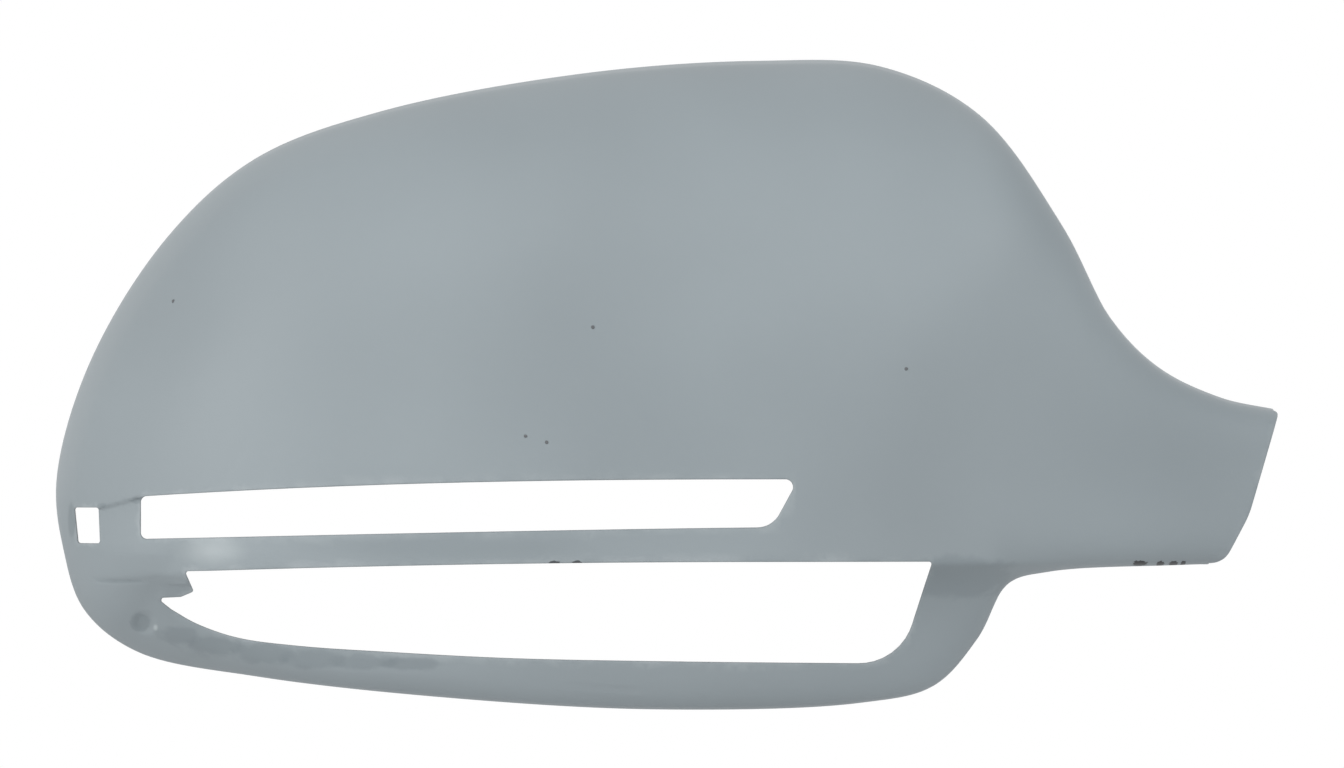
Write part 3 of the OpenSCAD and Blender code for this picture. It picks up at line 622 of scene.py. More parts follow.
    def spine_at(self, e):
        """Where the ray to a point of the rim leaves the spine."""
        left, right = (share * self.w for share in SPINE_ENDS)
        x = left + soft_ramp(e[..., 0] - left, self.w / SPINE_STOPS[0])
        x = right - soft_ramp(right - x, self.w / SPINE_STOPS[1])
        down = SPINE_DOWN + SPINE_DIP * smooth((x / self.w - DIP_START) / DIP_RUN)
        return np.stack([x, -self.h * down], axis=-1)

    def roll(self, e):
        """Depth of the rolled edge at points of the rim, and the power that says how square it is."""
        s = self.s
        outer = smooth((self.spine_at(e)[..., 0] - e[..., 0]) / (OUTER_RUN * self.w))
        tail = smooth((e[..., 0] - TAIL_START * self.w) / (TAIL_RUN * self.w)) * (1 - outer)
        top = smooth((e[..., 1] - self.fold) / (TOP_RUN * self.h))
        rest = 1 - outer - tail
        across = top * mm(s.roll_top) + (1 - top) * mm(s.roll_bottom)
        depth = outer * mm(s.roll_outer) + tail * mm(s.roll_tail) + rest * across
        square = top * TOP_POWER + (1 - top) * BOTTOM_POWER
        return depth, outer * OUTER_POWER + tail * TAIL_POWER + rest * square

    def at(self, array, i):
        """Values of a table over the rays, at rays that may lie between two of them."""
        i = np.asarray(i, float) % self.n
        a = np.floor(i).astype(int) % self.n
        f = (i - np.floor(i)).reshape(i.shape + (1,) * (array.ndim - 1))
        return array[a] * (1 - f) + array[(a + 1) % self.n] * f

    def point(self, i, v, skin):
        """The point of a skin on ray i: v runs from 0 at the spine to 1 at the edge and 2 at the seat."""
        i, v = np.broadcast_arrays(np.asarray(i, float), np.asarray(v, float))
        edge, spine = self.at(self.edge[skin], i), self.at(self.spine, i)
        rim, inward, lean = self.at(self.rim, i), self.at(self.inward, i), self.at(self.lean, i)
        depth, power = self.at(self.depth, i), self.at(self.power, i)
        t = np.clip(v, 0, 1)
        plan = spine + t[..., None] * (edge - spine)
        roll = (depth - skin * self.wall) * (1 - np.sqrt(np.maximum(0, 1 - t**power)))
        y = self.face_y(plan, skin) + roll
        seat = self.seat_y(rim[..., 1])
        back = y + (seat - y) * np.clip(v - 1, 0, 1)
        side = rim - math.tan(self.s.draft) * (seat - back)[..., None] * lean + skin * self.wall * inward
        plan = np.where((v > 1)[..., None], side, plan)
        return np.stack([plan[..., 0], np.where(v > 1, back, y), plan[..., 1]], axis=-1)

    def profiles(self, skin):
        """Each ray's values of v with the length run and the weight of detail up to there."""
        u = np.linspace(0, 1, FACE_SAMPLES)
        turns = np.sin(np.linspace(0, math.pi / 2, ROLL_SAMPLES)[None, :])
        turned = turns ** (2 / self.power[:, None])
        face = np.sort(np.concatenate([np.broadcast_to(u, (self.n, len(u))), turned], axis=1), axis=1)
        wall = np.linspace(1, 2, WALL_POINTS)[1:]
        v = np.concatenate([face, np.broadcast_to(wall, (self.n, len(wall)))], axis=1)
        p = self.point(np.arange(self.n)[:, None], v, skin)
        step = np.diff(p, axis=1)
        run = np.linalg.norm(step, axis=2)
        d = unit(step)
        bend = np.arccos(np.clip((d[:, 1:] * d[:, :-1]).sum(2), -1, 1))
        weight = run / FLAT_SPAN
        weight[:, 1:] += bend * (run[:, 1:] > SAME_PLACE) * (run[:, :-1] > SAME_PLACE) * BEND_WEIGHT
        zero = np.zeros((self.n, 1))
        return v, np.concatenate([zero, run.cumsum(1)], 1), np.concatenate([zero, weight.cumsum(1)], 1)

    def locate(self, q, skin):
        """The ray through each point of the unrolled plan, and the distance along it."""
        i_out, r_out = np.zeros(len(q)), np.zeros(len(q))
        ray, spine = self.rays[skin], self.spine
        for k in range(0, len(q), CHUNK):
            some = q[k : k + CHUNK]
            d = some[:, None, :] - spine[None]
            a = ray[None, :, 0] * d[..., 1] - ray[None, :, 1] * d[..., 0]
            ahead = (d * ray[None]).sum(2) > 0
            b = np.roll(a, -1, axis=1)
            hit = (a * b <= 0) & (a != b) & ahead & np.roll(ahead, -1, axis=1)
            near = np.where(hit, (d * ray[None]).sum(2), np.inf)
            j = near.argmin(axis=1)
            rows = np.arange(len(j))
            f = a[rows, j] / (a[rows, j] - b[rows, j])
            i_out[k : k + CHUNK] = j + f
            r_out[k : k + CHUNK] = np.linalg.norm(some - self.at(spine, j + f), axis=1)
        return i_out, r_out

    def lookup(self, i, x, source, target):
        """Values of one profile table at values of another, between the two rays about i."""
        out = []
        for a, f, value in zip(np.floor(i).astype(int), i - np.floor(i), x):
            low, high = (np.interp(value, source[k % self.n], target[k % self.n]) for k in (a, a + 1))
            out.append((1 - f) * low + f * high)
        return np.array(out)

    def from_plan(self, p, skin):
        """Rays and v for points in plan on the face."""
        i, r = self.locate(p, skin)
        reach = np.linalg.norm(self.at(self.edge[skin], i) - self.at(self.spine, i), axis=1)
        return i, np.minimum(r / reach, 1)

    def unrolled(self, i, v, skin):
        v_table, run, _ = self.tables[skin]
        return self.at(self.spine, i) + self.at(self.rays[skin], i) * self.lookup(i, v, v_table, run)[:, None]

    def from_unrolled(self, q, skin):
        v_table, run, _ = self.tables[skin]
        i, r = self.locate(q, skin)
        return i, self.lookup(i, r, run, v_table)

    def depth_at(self, p):
        p = np.atleast_2d(np.asarray(p, float))
        i, v = self.from_plan(p, 0)
        return self.point(i, v, 0)[:, 1]

    # Outlines of the openings

    def openings(self):
        """Closed outlines in plan of the lamp slot, the clip window and the lower opening."""
        o = self.o
        foot_x = self.slot_right - mm(o.slot_slant)
        run = self.slot_right - self.slot_left
        mid = [self.slot_right - t * run for t in np.linspace(*SLOT_SHARES)]
        slot = rounded(
            [(self.slot_left, self.slot_top(self.slot_left), SLOT_OUTER_R)]
            + [(x, self.slot_top(x), 0) for x in mid]
            + [(self.slot_right, self.slot_z, SLOT_INNER_R)]
            + [(foot_x, self.slot_foot(foot_x), mm(o.slot_corner))]
            + [(x, self.slot_foot(x), 0) for x in reversed(mid)]
            + [(self.slot_left, self.slot_foot(self.slot_left), SLOT_OUTER_R)]
        )
        x, top, w, h = self.window_left, self.window_top, mm(o.window_width), mm(o.window_height)
        foot = [(x + part * w, top - h, SMALL_R) for part in WINDOW_FOOT]
        window = rounded([(x, top, SMALL_R), (x + w, top, SMALL_R)] + foot)
        left, right, corner = self.opening_ends()
        reach, tall, r = mm(o.tooth_length), mm(o.tooth_height), SMALL_R
        tooth = left + reach

        def lip(at):
            return float(self.fold_at(at)) + mm(o.opening_lip)

        head = lip(tooth)
        start, end, number = LIP_ENDS
        radius = mm(o.opening_corner)
        lower = rounded(
            [(tooth - TOOTH_HEAD * reach, head, r)]
            + [(x, lip(x), 0) for x in np.linspace(tooth + start, right - end, number)]
            + [(right, lip(right), r), (*corner, radius)]
            + [(*p, 0) for p in self.foot if p[0] < corner[0] - 2 * radius]
            + [(left, head - TOOTH_FOOT * tall, r)]
            + [(tooth - TOOTH_STEP * reach, head - TOOTH_FALL * tall, r), (tooth, head - tall, r)]
        )
        return [even(loop, OUTLINE_STEP) for loop in (slot, window, lower)]

    def border(self, skin):
        """The skin's border as rays and v: round the seat, forward along the tail's end and back."""
        s = self.s
        edge = self.edge[skin]
        tip = np.array([self.right, TAIL_TIP * self.h])
        down, kick = (np.array([-math.tan(lean), -1]) for lean in (s.tail_lean, s.heel_lean))
        kink = tip + (TAIL_END * self.h - mm(s.heel_height)) * down

        def cut(first, last, start, way):
            i = np.arange(round(first * KNOT_STEPS), round(last * KNOT_STEPS))
            d = edge[i] - start
            side = d[:, 0] * way[1] - d[:, 1] * way[0]
            k = int(np.nonzero(side[:-1] * side[1:] <= 0)[0][0])
            return i[k] + side[k] / (side[k] - side[k + 1])

        def step_back(i, run, way):
            start = self.at(edge, i)
            while np.linalg.norm(self.at(edge, i) - start) < run:
                i += 0.02 * way
            return i

        top_at, foot_at = cut(*TAIL_TOP, tip, down), cut(*TAIL_FOOT, kink, kick)
        head, heel = self.at(edge, top_at), self.at(edge, foot_at)
        corner = mm(s.tail_corner)
        a, b = step_back(top_at, TAIL_ROUND, -1), step_back(foot_at, corner, 1)

        def bend(p, q, r, n):
            t = np.linspace(0, 1, n)[:, None]
            return (1 - t) ** 2 * p + 2 * t * (1 - t) * q + t**2 * r

        down, kick = unit(kink - head), unit(heel - kink)
        corners = (
            (self.at(edge, a), head, head + TAIL_ROUND * down),
            (kink - KINK_SOFT * down, kink, kink + KINK_SOFT * kick),
            (heel - corner * kick, heel, self.at(edge, b)),
        )
        parts = [bend(*ends, n) for ends, n in zip(corners, CORNER_POINTS)]
        face = [parts[0]]
        for before, after, n in zip(parts, parts[1:], STRAIGHT_POINTS):
            t = np.linspace(0, 1, n + 1)[1:-1, None]
            face += [before[-1] * (1 - t) + after[0] * t, after]
        i, v = self.from_plan(np.concatenate(face)[1:-1], skin)
        wall = np.linspace(1, 2, WALL_POINTS)[1:-1]
        seat = np.linspace(b, a + self.n, SEAT_POINTS)
        rays = [[a], i, [b], np.full(len(wall), b), seat, np.full(len(wall), a)]
        levels = [[1], v, [1], wall, np.full(SEAT_POINTS, 2.0), wall[::-1]]
        return np.concatenate(rays), np.concatenate(levels)


def build_skin(shape, skin, details, borders):
    """Rays and v of one skin's inner points, and its triangles; the borders' points come first."""
    rows, every = SKIN_ROWS[skin]
    v_table, run, weight = shape.tables[skin]
    plan, where = [], []
    levels = (np.arange(rows) + 0.5) / rows
    if details:
        i, v = shape.from_plan(np.concatenate(details), skin)
        plan.append(shape.unrolled(i, v, skin))
        where.append(np.stack([i, v], axis=1))
    for i in range(0, shape.n, every):
        v = np.interp(levels, weight[i] / weight[i][-1], v_table[i])
        r = np.interp(v, v_table[i], run[i])
        plan.append(shape.spine[i] + shape.rays[skin][i] * r[:, None])
        where.append(np.stack([np.full(rows, float(i)), v], axis=1))
    plan, where = np.concatenate(plan), np.concatenate(where)
    rim = np.concatenate(borders)
    taken = {}

    def cell(p):
        return int(p[0] // POINT_GAP), int(p[1] // POINT_GAP)

    def clear(p):
        cx, cz = cell(p)
        near = (q for i in (-1, 0, 1) for k in (-1, 0, 1) for q in taken.get((cx + i, cz + k), ()))
        return all((q[0] - p[0]) ** 2 + (q[1] - p[1]) ** 2 >= POINT_GAP * POINT_GAP for q in near)

    for p in rim:
        taken.setdefault(cell(p), []).append(p)
    chosen = []
    for k in np.nonzero(odd_crossings(plan, borders))[0]:
        if clear(plan[k]):
            taken.setdefault(cell(plan[k]), []).append(plan[k])
            chosen.append(k)
    corner = np.concatenate([rim, plan[chosen]])
    edges, start = [], 0
    for loop in borders:
        n = len(loop)
        edges += [(start + k, start + (k + 1) % n) for k in range(n)]
        start += n
    found = geometry.delaunay_2d_cdt([Vector(p) for p in corner], edges, [], 0, CROSSING)
    verts, faces, origin = found[0], np.array(found[2]), found[3]
    back = np.array([min(sources, default=-1) for sources in origin])
    if len(back) != len(verts) or back.min() < 0:
        raise RuntimeError("The skin's borders cross each other")
    flat = np.array([tuple(p) for p in verts])
    faces = back[faces[odd_crossings(flat[faces].mean(axis=1), borders)]]
    u, w = (corner[faces[:, k]] - corner[faces[:, 0]] for k in (1, 2))
    turn = u[:, 0] * w[:, 1] - u[:, 1] * w[:, 0]
    faces[turn < 0] = faces[turn < 0][:, ::-1]
    return where[chosen], faces[np.abs(turn) > FLAT]


def trimmed_edges(shape, skin, r):
    """For each border of a skin its sharp edge, and that edge drawn in by r in space and unrolled."""
    i, v = shape.border(skin)
    loop = shape.unrolled(i, v, skin)
    inside = loop + r * (1 if area(loop) > 0 else -1) * side_of(loop)
    found = [(shape.point(i, v, skin), shape.point(*shape.from_unrolled(inside, skin), skin), inside)]
    for hole in shape.openings():
        i, v = shape.from_plan(hole - r * (1 if area(hole) > 0 else -1) * side_of(hole), skin)
        sharp = shape.point(*shape.from_plan(hole, skin), skin)
        found.append((sharp, shape.point(i, v, skin), shape.unrolled(i, v, skin)))
    return zip(*found)


def edge_rings(outer, outer_corner, inner, inner_corner, r):
    """Rings of points that round a cut edge on both its corners."""
    across = unit(inner_corner - outer_corner) * r
    rings = []
    for t in (1 / 3, 2 / 3, 1):
        rings.append((1 - t) ** 2 * outer + 2 * t * (1 - t) * outer_corner + t**2 * (outer_corner + across))
    for t in (0, 1 / 3, 2 / 3):
        rings.append((1 - t) ** 2 * (inner_corner - across) + 2 * t * (1 - t) * inner_corner + t**2 * inner)
    return rings


def shell_mesh(shape):
    """Points in millimetres, faces and point weights of the closed shell."""
    r = mm(shape.s.edge_round)
    corners, trimmed, plans = zip(*(trimmed_edges(shape, skin, r) for skin in (0, 1)))
    points, faces, wear, back, starts = [], [], [], [], []
    count = 0

    def keep(ring, edge, behind):
        nonlocal count
        points.append(ring)
        wear.append(np.full(len(ring), float(edge)))
        back.append(np.full(len(ring), float(behind)))
        count += len(ring)

    for skin, details in enumerate((detail_points(shape), [])):
        where, triangles = build_skin(shape, skin, details, plans[skin])
        starts.append(count)
        faces += ((triangles[:, ::-1] if skin else triangles) + count).tolist()
        keep(np.concatenate(trimmed[skin]), 1, skin)
        keep(shape.point(where[:, 0], where[:, 1], skin), 0, skin)
    offset = 0
    for c0, c1, t0, t1 in zip(*corners, *trimmed):
        n = len(c0)
        ids = [starts[0] + offset + np.arange(n)]
        rings = edge_rings(t0, c0, t1, c1, r)
        for number, ring in enumerate(rings):
            ids.append(count + np.arange(n))
            keep(ring, 1, number / (len(rings) - 1))
        ids.append(starts[1] + offset + np.arange(n))
        for a, b in zip(ids, ids[1:]):
            faces += [(a[k], a[(k + 1) % n], b[(k + 1) % n], b[k]) for k in range(n)]
        offset += n
    points = np.concatenate(points)
    from_seat = np.maximum(shape.seat_y(points[:, 2]) - points[:, 1], 0)
    overspray = OVERSPRAY * np.exp(-from_seat / OVERSPRAY_REACH)
    inside = np.concatenate(back) * (1 - overspray)
    return points, faces, {"edge": np.concatenate(wear), "inside": inside}


def detail_points(shape):
    """Closer points in plan where the recess, the sink mark and the grooves need them."""
    o = shape.o
    out = []

    def strips(x, z, offsets):
        out.extend(np.stack([x, z + off], axis=1) for off in offsets)

    x0, x1 = shape.window_left + mm(o.window_width) + 0.5, shape.slot_left - 0.5
    x = np.arange(x0, x1, POINT_GAP)
    top = shape.window_top + mm(o.window_drop) * (x - x0) / (x1 - x0)
    strips(x, top, RECESS_ROWS)
    for k in range(1, SINK_RINGS + 1):
        a = np.linspace(0, 2 * math.pi, 6 * k + 6, endpoint=False)
        out.append(shape.pin + SINK_RING_GAP * k * np.stack([np.cos(a), np.sin(a)], axis=1))
    x = np.arange(*LINE_RUN)
    strips(x, np.full(len(x), shape.sink_line_z()), LINE_ROWS)
    x = np.arange(*GROOVE_RUN)
    strips(x, GROOVE_Z - GROOVE_FALL * (x - GROOVE_X), GROOVE_ROWS)
    return out


def profile_frame(shape, along):
    """Place on the rim, seat depth there and turn about Y for a fixing at a share of the rim's knots."""
    i = along * KNOT_STEPS
    p = shape.at(shape.rim, i)
    t = unit(shape.at(shape.rim, i + TURN_REACH) - shape.at(shape.rim, i - TURN_REACH))
    return p, float(shape.seat_y(p[1])), math.atan2(t[0], t[1])


# Meshes and materials


def weigh(mesh, key, values):
    """Store a weight on every point of a mesh, for its material."""
    layer = mesh.attributes.new(key, "FLOAT", "POINT")
    layer.data.foreach_set("value", np.asarray(values, np.float32))


def new_object(name, points, faces, material):
    """A smooth mesh object in the row frame from points in millimetres behind the face's front."""
    seat = mm(bpy.context.scene.mirror_cover_shell.seat_depth)
    mesh = bpy.data.meshes.new(name)
    pts = (np.asarray(points, float) - [0, seat, 0]) / 1000
    mesh.from_pydata(pts.tolist(), [], [tuple(int(i) for i in f) for f in faces])
    bm = bmesh.new()
    bm.from_mesh(mesh)
    bmesh.ops.recalc_face_normals(bm, faces=bm.faces)
    bm.to_mesh(mesh)
    bm.free()
    mesh.materials.append(material)
    shade(mesh, True)
    mesh.update()
    if mesh.validate():
        raise RuntimeError(name + " has faces that can't be kept")
    return linked(name, mesh)


def linked(name, data):
    obj = bpy.data.objects.new(name, data)
    bpy.context.scene.collection.objects.link(obj)
    return obj


def shade(mesh, smoothly):
    mesh.polygons.foreach_set("use_smooth", [smoothly] * len(mesh.polygons))


def keep_piece(obj, behind=False):
    """Tie a piece to the root; one behind the face gets the look of the bare inside."""
    if behind:
        weigh(obj.data, "inside", np.ones(len(obj.data.vertices)))
    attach(obj, ROOT)
    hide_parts(NODE)


def group(name, inputs, outputs, kind="ShaderNodeTree"):
    """An empty node group with its input and output sockets; the inputs are (name, kind, default)."""
    tree = bpy.data.node_groups.new(name, kind)
    for label, socket, default in inputs:
        made = tree.interface.new_socket(label, in_out="INPUT", socket_type="NodeSocket" + socket)
        if default is not None:
            made.default_value = default
    for label, socket in outputs:
        tree.interface.new_socket(label, in_out="OUTPUT", socket_type="NodeSocket" + socket)
    return tree, tree.nodes.new("NodeGroupInput").outputs, tree.nodes.new("NodeGroupOutput").inputs


def feed(tree, target, source):
    """Link an input to another node's output, or set its value."""
    if isinstance(source, bpy.types.NodeSocket):
        tree.links.new(source, target)
    else:
        target.default_value = source


def add(tree, kind, inputs=None, **settings):
    """A node with its settings, and its inputs by name or number."""
    node = tree.nodes.new(kind)
    for key, value in settings.items():
        setattr(node, key, value)
    for key, source in (inputs or {}).items():
        feed(tree, node.inputs[key], source)
    return node


def calc(tree, operation, *values):
    return add(tree, "ShaderNodeMath", dict(enumerate(values)), operation=operation).outputs[0]


def calc_vector(tree, operation, *values):
    return add(tree, "ShaderNodeVectorMath", dict(enumerate(values)), operation=operation)


def noise(tree, vector, scale, detail):
    node = add(tree, "ShaderNodeTexNoise", {"Vector": vector, "Scale": scale, "Detail": detail})
    return node.outputs["Fac"]


def spread(tree, value, ends, **settings):
    """A value taken from one range to another; the ends are from low, from high, to low, to high."""
    names = ("From Min", "From Max", "To Min", "To Max")
    inputs = {"Value": value, **dict(zip(names, ends))}
    return add(tree, "ShaderNodeMapRange", inputs, **settings).outputs["Result"]


def blend(tree, mask, under, over):
    inputs = {"Factor": mask, "A": under, "B": over}
    return add(tree, "ShaderNodeMix", inputs, data_type="RGBA").outputs["Result"]


def grain_group():
    """Fine sprayed grain with a little orange peel, as a height."""
    tree, given, result = group(
        "Primer grain", [("Vector", "Vector", None), ("Strength", "Float", 0.1)], [("Height", "Float")]
    )
    fine = noise(tree, given["Vector"], *FINE_GRAIN)
    peel = noise(tree, given["Vector"], *ORANGE_PEEL)
    both = calc(tree, "MULTIPLY_ADD", peel, PEEL_SHARE, fine)
    feed(tree, result["Height"], calc(tree, "MULTIPLY", both, given["Strength"]))
    return tree


def drift_group():
    """Slow change of the primer's tone, as a colour."""
    tree, given, result = group(
        "Primer tone",
        [("Vector", "Vector", None), ("Colour", "Color", (0.3, 0.3, 0.3, 1)), ("Amount", "Float", 0.1)],
        [("Colour", "Color")],
    )
    broad = spread(tree, noise(tree, given["Vector"], *SLOW_TONE), SLOW_ENDS)
    gain = calc(tree, "ADD", calc(tree, "MULTIPLY", broad, given["Amount"]), 1.0)
    scaled = calc_vector(tree, "SCALE", given["Colour"])
    feed(tree, scaled.inputs["Scale"], gain)
    feed(tree, result["Colour"], scaled.outputs["Vector"])
    return tree


def broken_group(name, weight, texture, ends):
    """Noise that breaks up a point weight, as a mask."""
    inputs = [("Vector", "Vector", None), (weight, "Float", 0.0), ("Amount", "Float", 0.5)]
    tree, given, result = group(name, inputs, [("Mask", "Float")])
    broken = spread(tree, noise(tree, given["Vector"], *texture), ends)
    cut = calc(tree, "MULTIPLY", broken, given[weight])
    feed(tree, result["Mask"], calc(tree, "MULTIPLY", cut, given["Amount"]))
    return tree


def patch_group():
    """A patch round a centre with a broken outline, as a mask; it lays painted shade and painted highlights.
    """
    tree, given, result = group(
        "Patch",
        [
            ("Vector", "Vector", None), ("Centre", "Vector", (0, 0, 0)), ("Size", "Vector", (1, 1, 1)),
            ("Softness", "Float", 0.5), ("Break scale", "Float", 300.0), ("Break", "Float", 0.5),
            ("Amount", "Float", 0.5),
        ],
        [("Mask", "Float")],
    )
    shift = calc_vector(tree, "SUBTRACT", given["Vector"], given["Centre"])
    scale = calc_vector(tree, "DIVIDE", shift.outputs["Vector"], given["Size"])
    far = calc_vector(tree, "LENGTH", scale.outputs["Vector"]).outputs["Value"]
    broken = noise(tree, given["Vector"], given["Break scale"], PATCH_DETAIL)
    centred = calc(tree, "SUBTRACT", broken, 0.5)
    shaken = calc(tree, "MULTIPLY_ADD", centred, given["Break"], far)
    inner = calc(tree, "SUBTRACT", 1.0, given["Softness"])
    fade = spread(tree, shaken, (1.0, inner, 0.0, 1.0), interpolation_type="SMOOTHSTEP")
    feed(tree, result["Mask"], calc(tree, "MULTIPLY", fade, given["Amount"]))
    return tree


def primer_material():
    """Satin grey primer over dark plastic, with painted shade and painted highlights from the patch list."""
    found = bpy.data.materials.get("Grey primer")
    if found:
        return found
    f = bpy.context.scene.mirror_cover_finish
    mat = bpy.data.materials.new("Grey primer")
    mat.use_nodes = True
    tree = mat.node_tree
    where = tree.nodes.new("ShaderNodeTexCoord").outputs["Object"]

    def shared(of, output, **inputs):
        inputs = {key.replace("_", " "): value for key, value in inputs.items()}
        return add(tree, "ShaderNodeGroup", {"Vector": where, **inputs}, node_tree=of).outputs[output]

    def weight(key):
        return add(tree, "ShaderNodeAttribute", attribute_name=key).outputs["Fac"]

    rubbed = broken_group("Edge rub", "Edge", EDGE_BREAK, EDGE_ENDS)
    behind = broken_group("Bare inside", "Inside", MIST, MIST_ENDS)
    patch = patch_group()
    colour = shared(drift_group(), "Colour", Colour=(*f.colour, 1), Amount=f.drift)
    colour = blend(tree, shared(rubbed, "Mask", Edge=weight("edge"), Amount=f.rub), colour, RUBBED)
    # Lay the painted shade, the painted highlights and the two small black marks of the patch list
    for (x, z), (across, up), softness, scale, broken, amount, tint in PATCHES:
        mask = shared(
            patch, "Mask", Centre=(x, PATCH_DEPTH, z), Size=(across, 1.0, up), Softness=softness,
            Break_scale=scale, Break=broken, Amount=amount * f.patches,
        )
        colour = blend(tree, mask, colour, (*tint, 1))
    colour = blend(tree, shared(behind, "Mask", Inside=weight("inside"), Amount=f.bare), colour, BARE)
    height = shared(grain_group(), "Height", Strength=f.grain)
    bump = add(tree, "ShaderNodeBump", {"Height": height, "Distance": GRAIN_HEIGHT, "Strength": GRAIN_BUMP})
    shader = tree.nodes["Principled BSDF"]
    values = {"Base Color": colour, "Roughness": f.roughness, "Specular IOR Level": GLOSS}
    for key, value in {**values, "Normal": bump.outputs["Normal"]}.items():
        feed(tree, shader.inputs[key], value)
    return mat


def plain_material(name, colour, roughness):
    mat = bpy.data.materials.new(name)
    mat.use_nodes = True
    shader = mat.node_tree.nodes["Principled BSDF"]
    shader.inputs["Base Color"].default_value = (*colour, 1)
    shader.inputs["Roughness"].default_value = roughness
    return mat


def current_shape():
    scene = bpy.context.scene
    return Shape(scene.mirror_cover_shell, scene.mirror_cover_openings, scene.mirror_cover_fixings)


class MIRRORCOVER_OT_shell(bpy.types.Operator):
    """Build the shell with its slot, window, lower opening, recess and sink marks"""

    bl_idname = "mirror_cover.shell"
    bl_label = "Build shell"

    def execute(self, context):
        points, faces, weights = shell_mesh(current_shape())
        obj = new_object("cover_shell", points, faces, primer_material())
        for key, values in weights.items():
            weigh(obj.data, key, values)
        keep_piece(obj)
        return {"FINISHED"}


def joined(parts):
    points, faces = [], []
    for more, polygons in parts:
        faces += [tuple(i + len(points) for i in f) for f in polygons]
        points += [tuple(p) for p in more]
    return points, faces


def finish_tree(tree, given, result, geometry):
    """End a geometry node tree in real geometry with its material."""
    real = add(tree, "GeometryNodeRealizeInstances", {"Geometry": geometry})
    paint = {"Geometry": real.outputs["Geometry"], "Material": given["Material"]}
    feed(tree, result["Geometry"], add(tree, "GeometryNodeSetMaterial", paint).outputs["Geometry"])
    return tree


def rib_tree():
    """Geometry nodes that run a rounded bar along every line, standing on its edge along Y."""
    sizes = [("Thickness", "Float", 0.002), ("Height", "Float", 0.004), ("Rounding", "Float", 0.0004)]
    tree, given, result = group(
        "Ribs along lines", [("Geometry", "Geometry", None), ("Material", "Material", None)] + sizes,
        [("Geometry", "Geometry")], "GeometryNodeTree",
    )
    line = add(tree, "GeometryNodeMeshToCurve", {"Mesh": given["Geometry"]}).outputs["Curve"]
    upright = add(tree, "GeometryNodeSetCurveNormal", {"Curve": line, "Normal": (0, 1, 0)}, mode="FREE")
    sides = {"Width": given["Height"], "Height": given["Thickness"]}
    bar = add(tree, "GeometryNodeCurvePrimitiveQuadrilateral", sides).outputs["Curve"]
    corners = {"Curve": bar, "Radius": given["Rounding"], "Count": 3}
    soft = add(tree, "GeometryNodeFilletCurve", corners, mode="POLY").outputs["Curve"]
    run = {"Curve": upright.outputs["Curve"], "Profile Curve": soft, "Fill Caps": True}
    return finish_tree(tree, given, result, add(tree, "GeometryNodeCurveToMesh", run).outputs["Mesh"])


class MIRRORCOVER_OT_ribs(bpy.types.Operator):
    """Build the ribs behind the lamp slot and the short rib across the outer end"""

    bl_idname = "mirror_cover.ribs"
    bl_label = "Build ribs"

    def execute(self, context):
        shape = current_shape()
        f = context.scene.mirror_cover_fixings
        t, wall = mm(f.rib_thickness), shape.wall
        off = mm(f.rib_gap) + t / 2
        x = np.linspace(shape.slot_left - RIB_OUT * wall, shape.slot_right + RIB_IN * wall, SLOT_RIB_POINTS)
        end = np.linspace(shape.left + END_RIB_START * wall, shape.pin[0], END_RIB_POINTS)
        across_end = np.full(len(end), shape.fold - mm(shape.s.fold_drop) - END_RIB_DROP * t)
        paths = [
            np.stack([x, shape.slot_top(x) + off], axis=1),
            np.stack([x, shape.slot_foot(x) - off], axis=1),
            np.stack([end, across_end], axis=1),
        ]
        low, high = wall / 2, wall + mm(f.rib_height)
        points, edges = [], []
        for path in paths:
            edges += [(len(points) + k, len(points) + k + 1) for k in range(len(path) - 1)]
            middle = shape.depth_at(path) + (low + high) / 2 - mm(shape.s.seat_depth)
            points += [(p[0] / 1000, y / 1000, p[1] / 1000) for p, y in zip(path, middle)]
        lines = bpy.data.meshes.new("Rib lines")
        lines.from_pydata(points, edges, [])
        values = {"Thickness": t / 1000, "Height": (high - low) / 1000, "Rounding": RIB_ROUND * t / 1000}
        values["Material"] = primer_material()
        obj = built_by_nodes("stiffening_ribs", lines, rib_tree(), values)
        shade(obj.data, False)
        keep_piece(obj, behind=True)
        return {"FINISHED"}


def pin_mesh(shape, f, at):
    """Points and faces of one post with its pin, from inside the wall to the pin's tip."""
    n = PIN_SIDES
    tip = float(shape.seat_y(at[1])) - mm(f.pin_inset)
    step, nose = tip - mm(f.pin_length), PIN_NOSE * mm(f.pin_width)
    post, pin = mm(f.post_width) / 2, mm(f.pin_width) / 2
    profile = [
        (post, step - POST_BEVEL), (post - POST_BEVEL, step), (pin + PIN_FILLET, step),
        (pin, step + PIN_FILLET), (pin, tip - nose), (pin - nose, tip),
    ]
    turns = np.linspace(0, 2 * math.pi, n, endpoint=False)
    around = np.stack([np.cos(turns), np.sin(turns)], axis=1)
    foot = np.concatenate([[at], at + post * around])
    points = [(q[0], y, q[1]) for q, y in zip(foot, shape.depth_at(foot) + shape.wall / 2)]
    for r, y in profile:
        points += [(q[0], y, q[1]) for q in at + r * around]
    points.append((at[0], tip, at[1]))
    faces = []
    last = 1 + len(profile) * n
    for k in range(n):
        j = (k + 1) % n
        faces.append((0, 1 + k, 1 + j))
        faces += [(a + k, a + n + k, a + n + j, a + j) for a in range(1, last, n)]
        faces.append((last + k, len(points) - 1, last + j))
    return points, faces


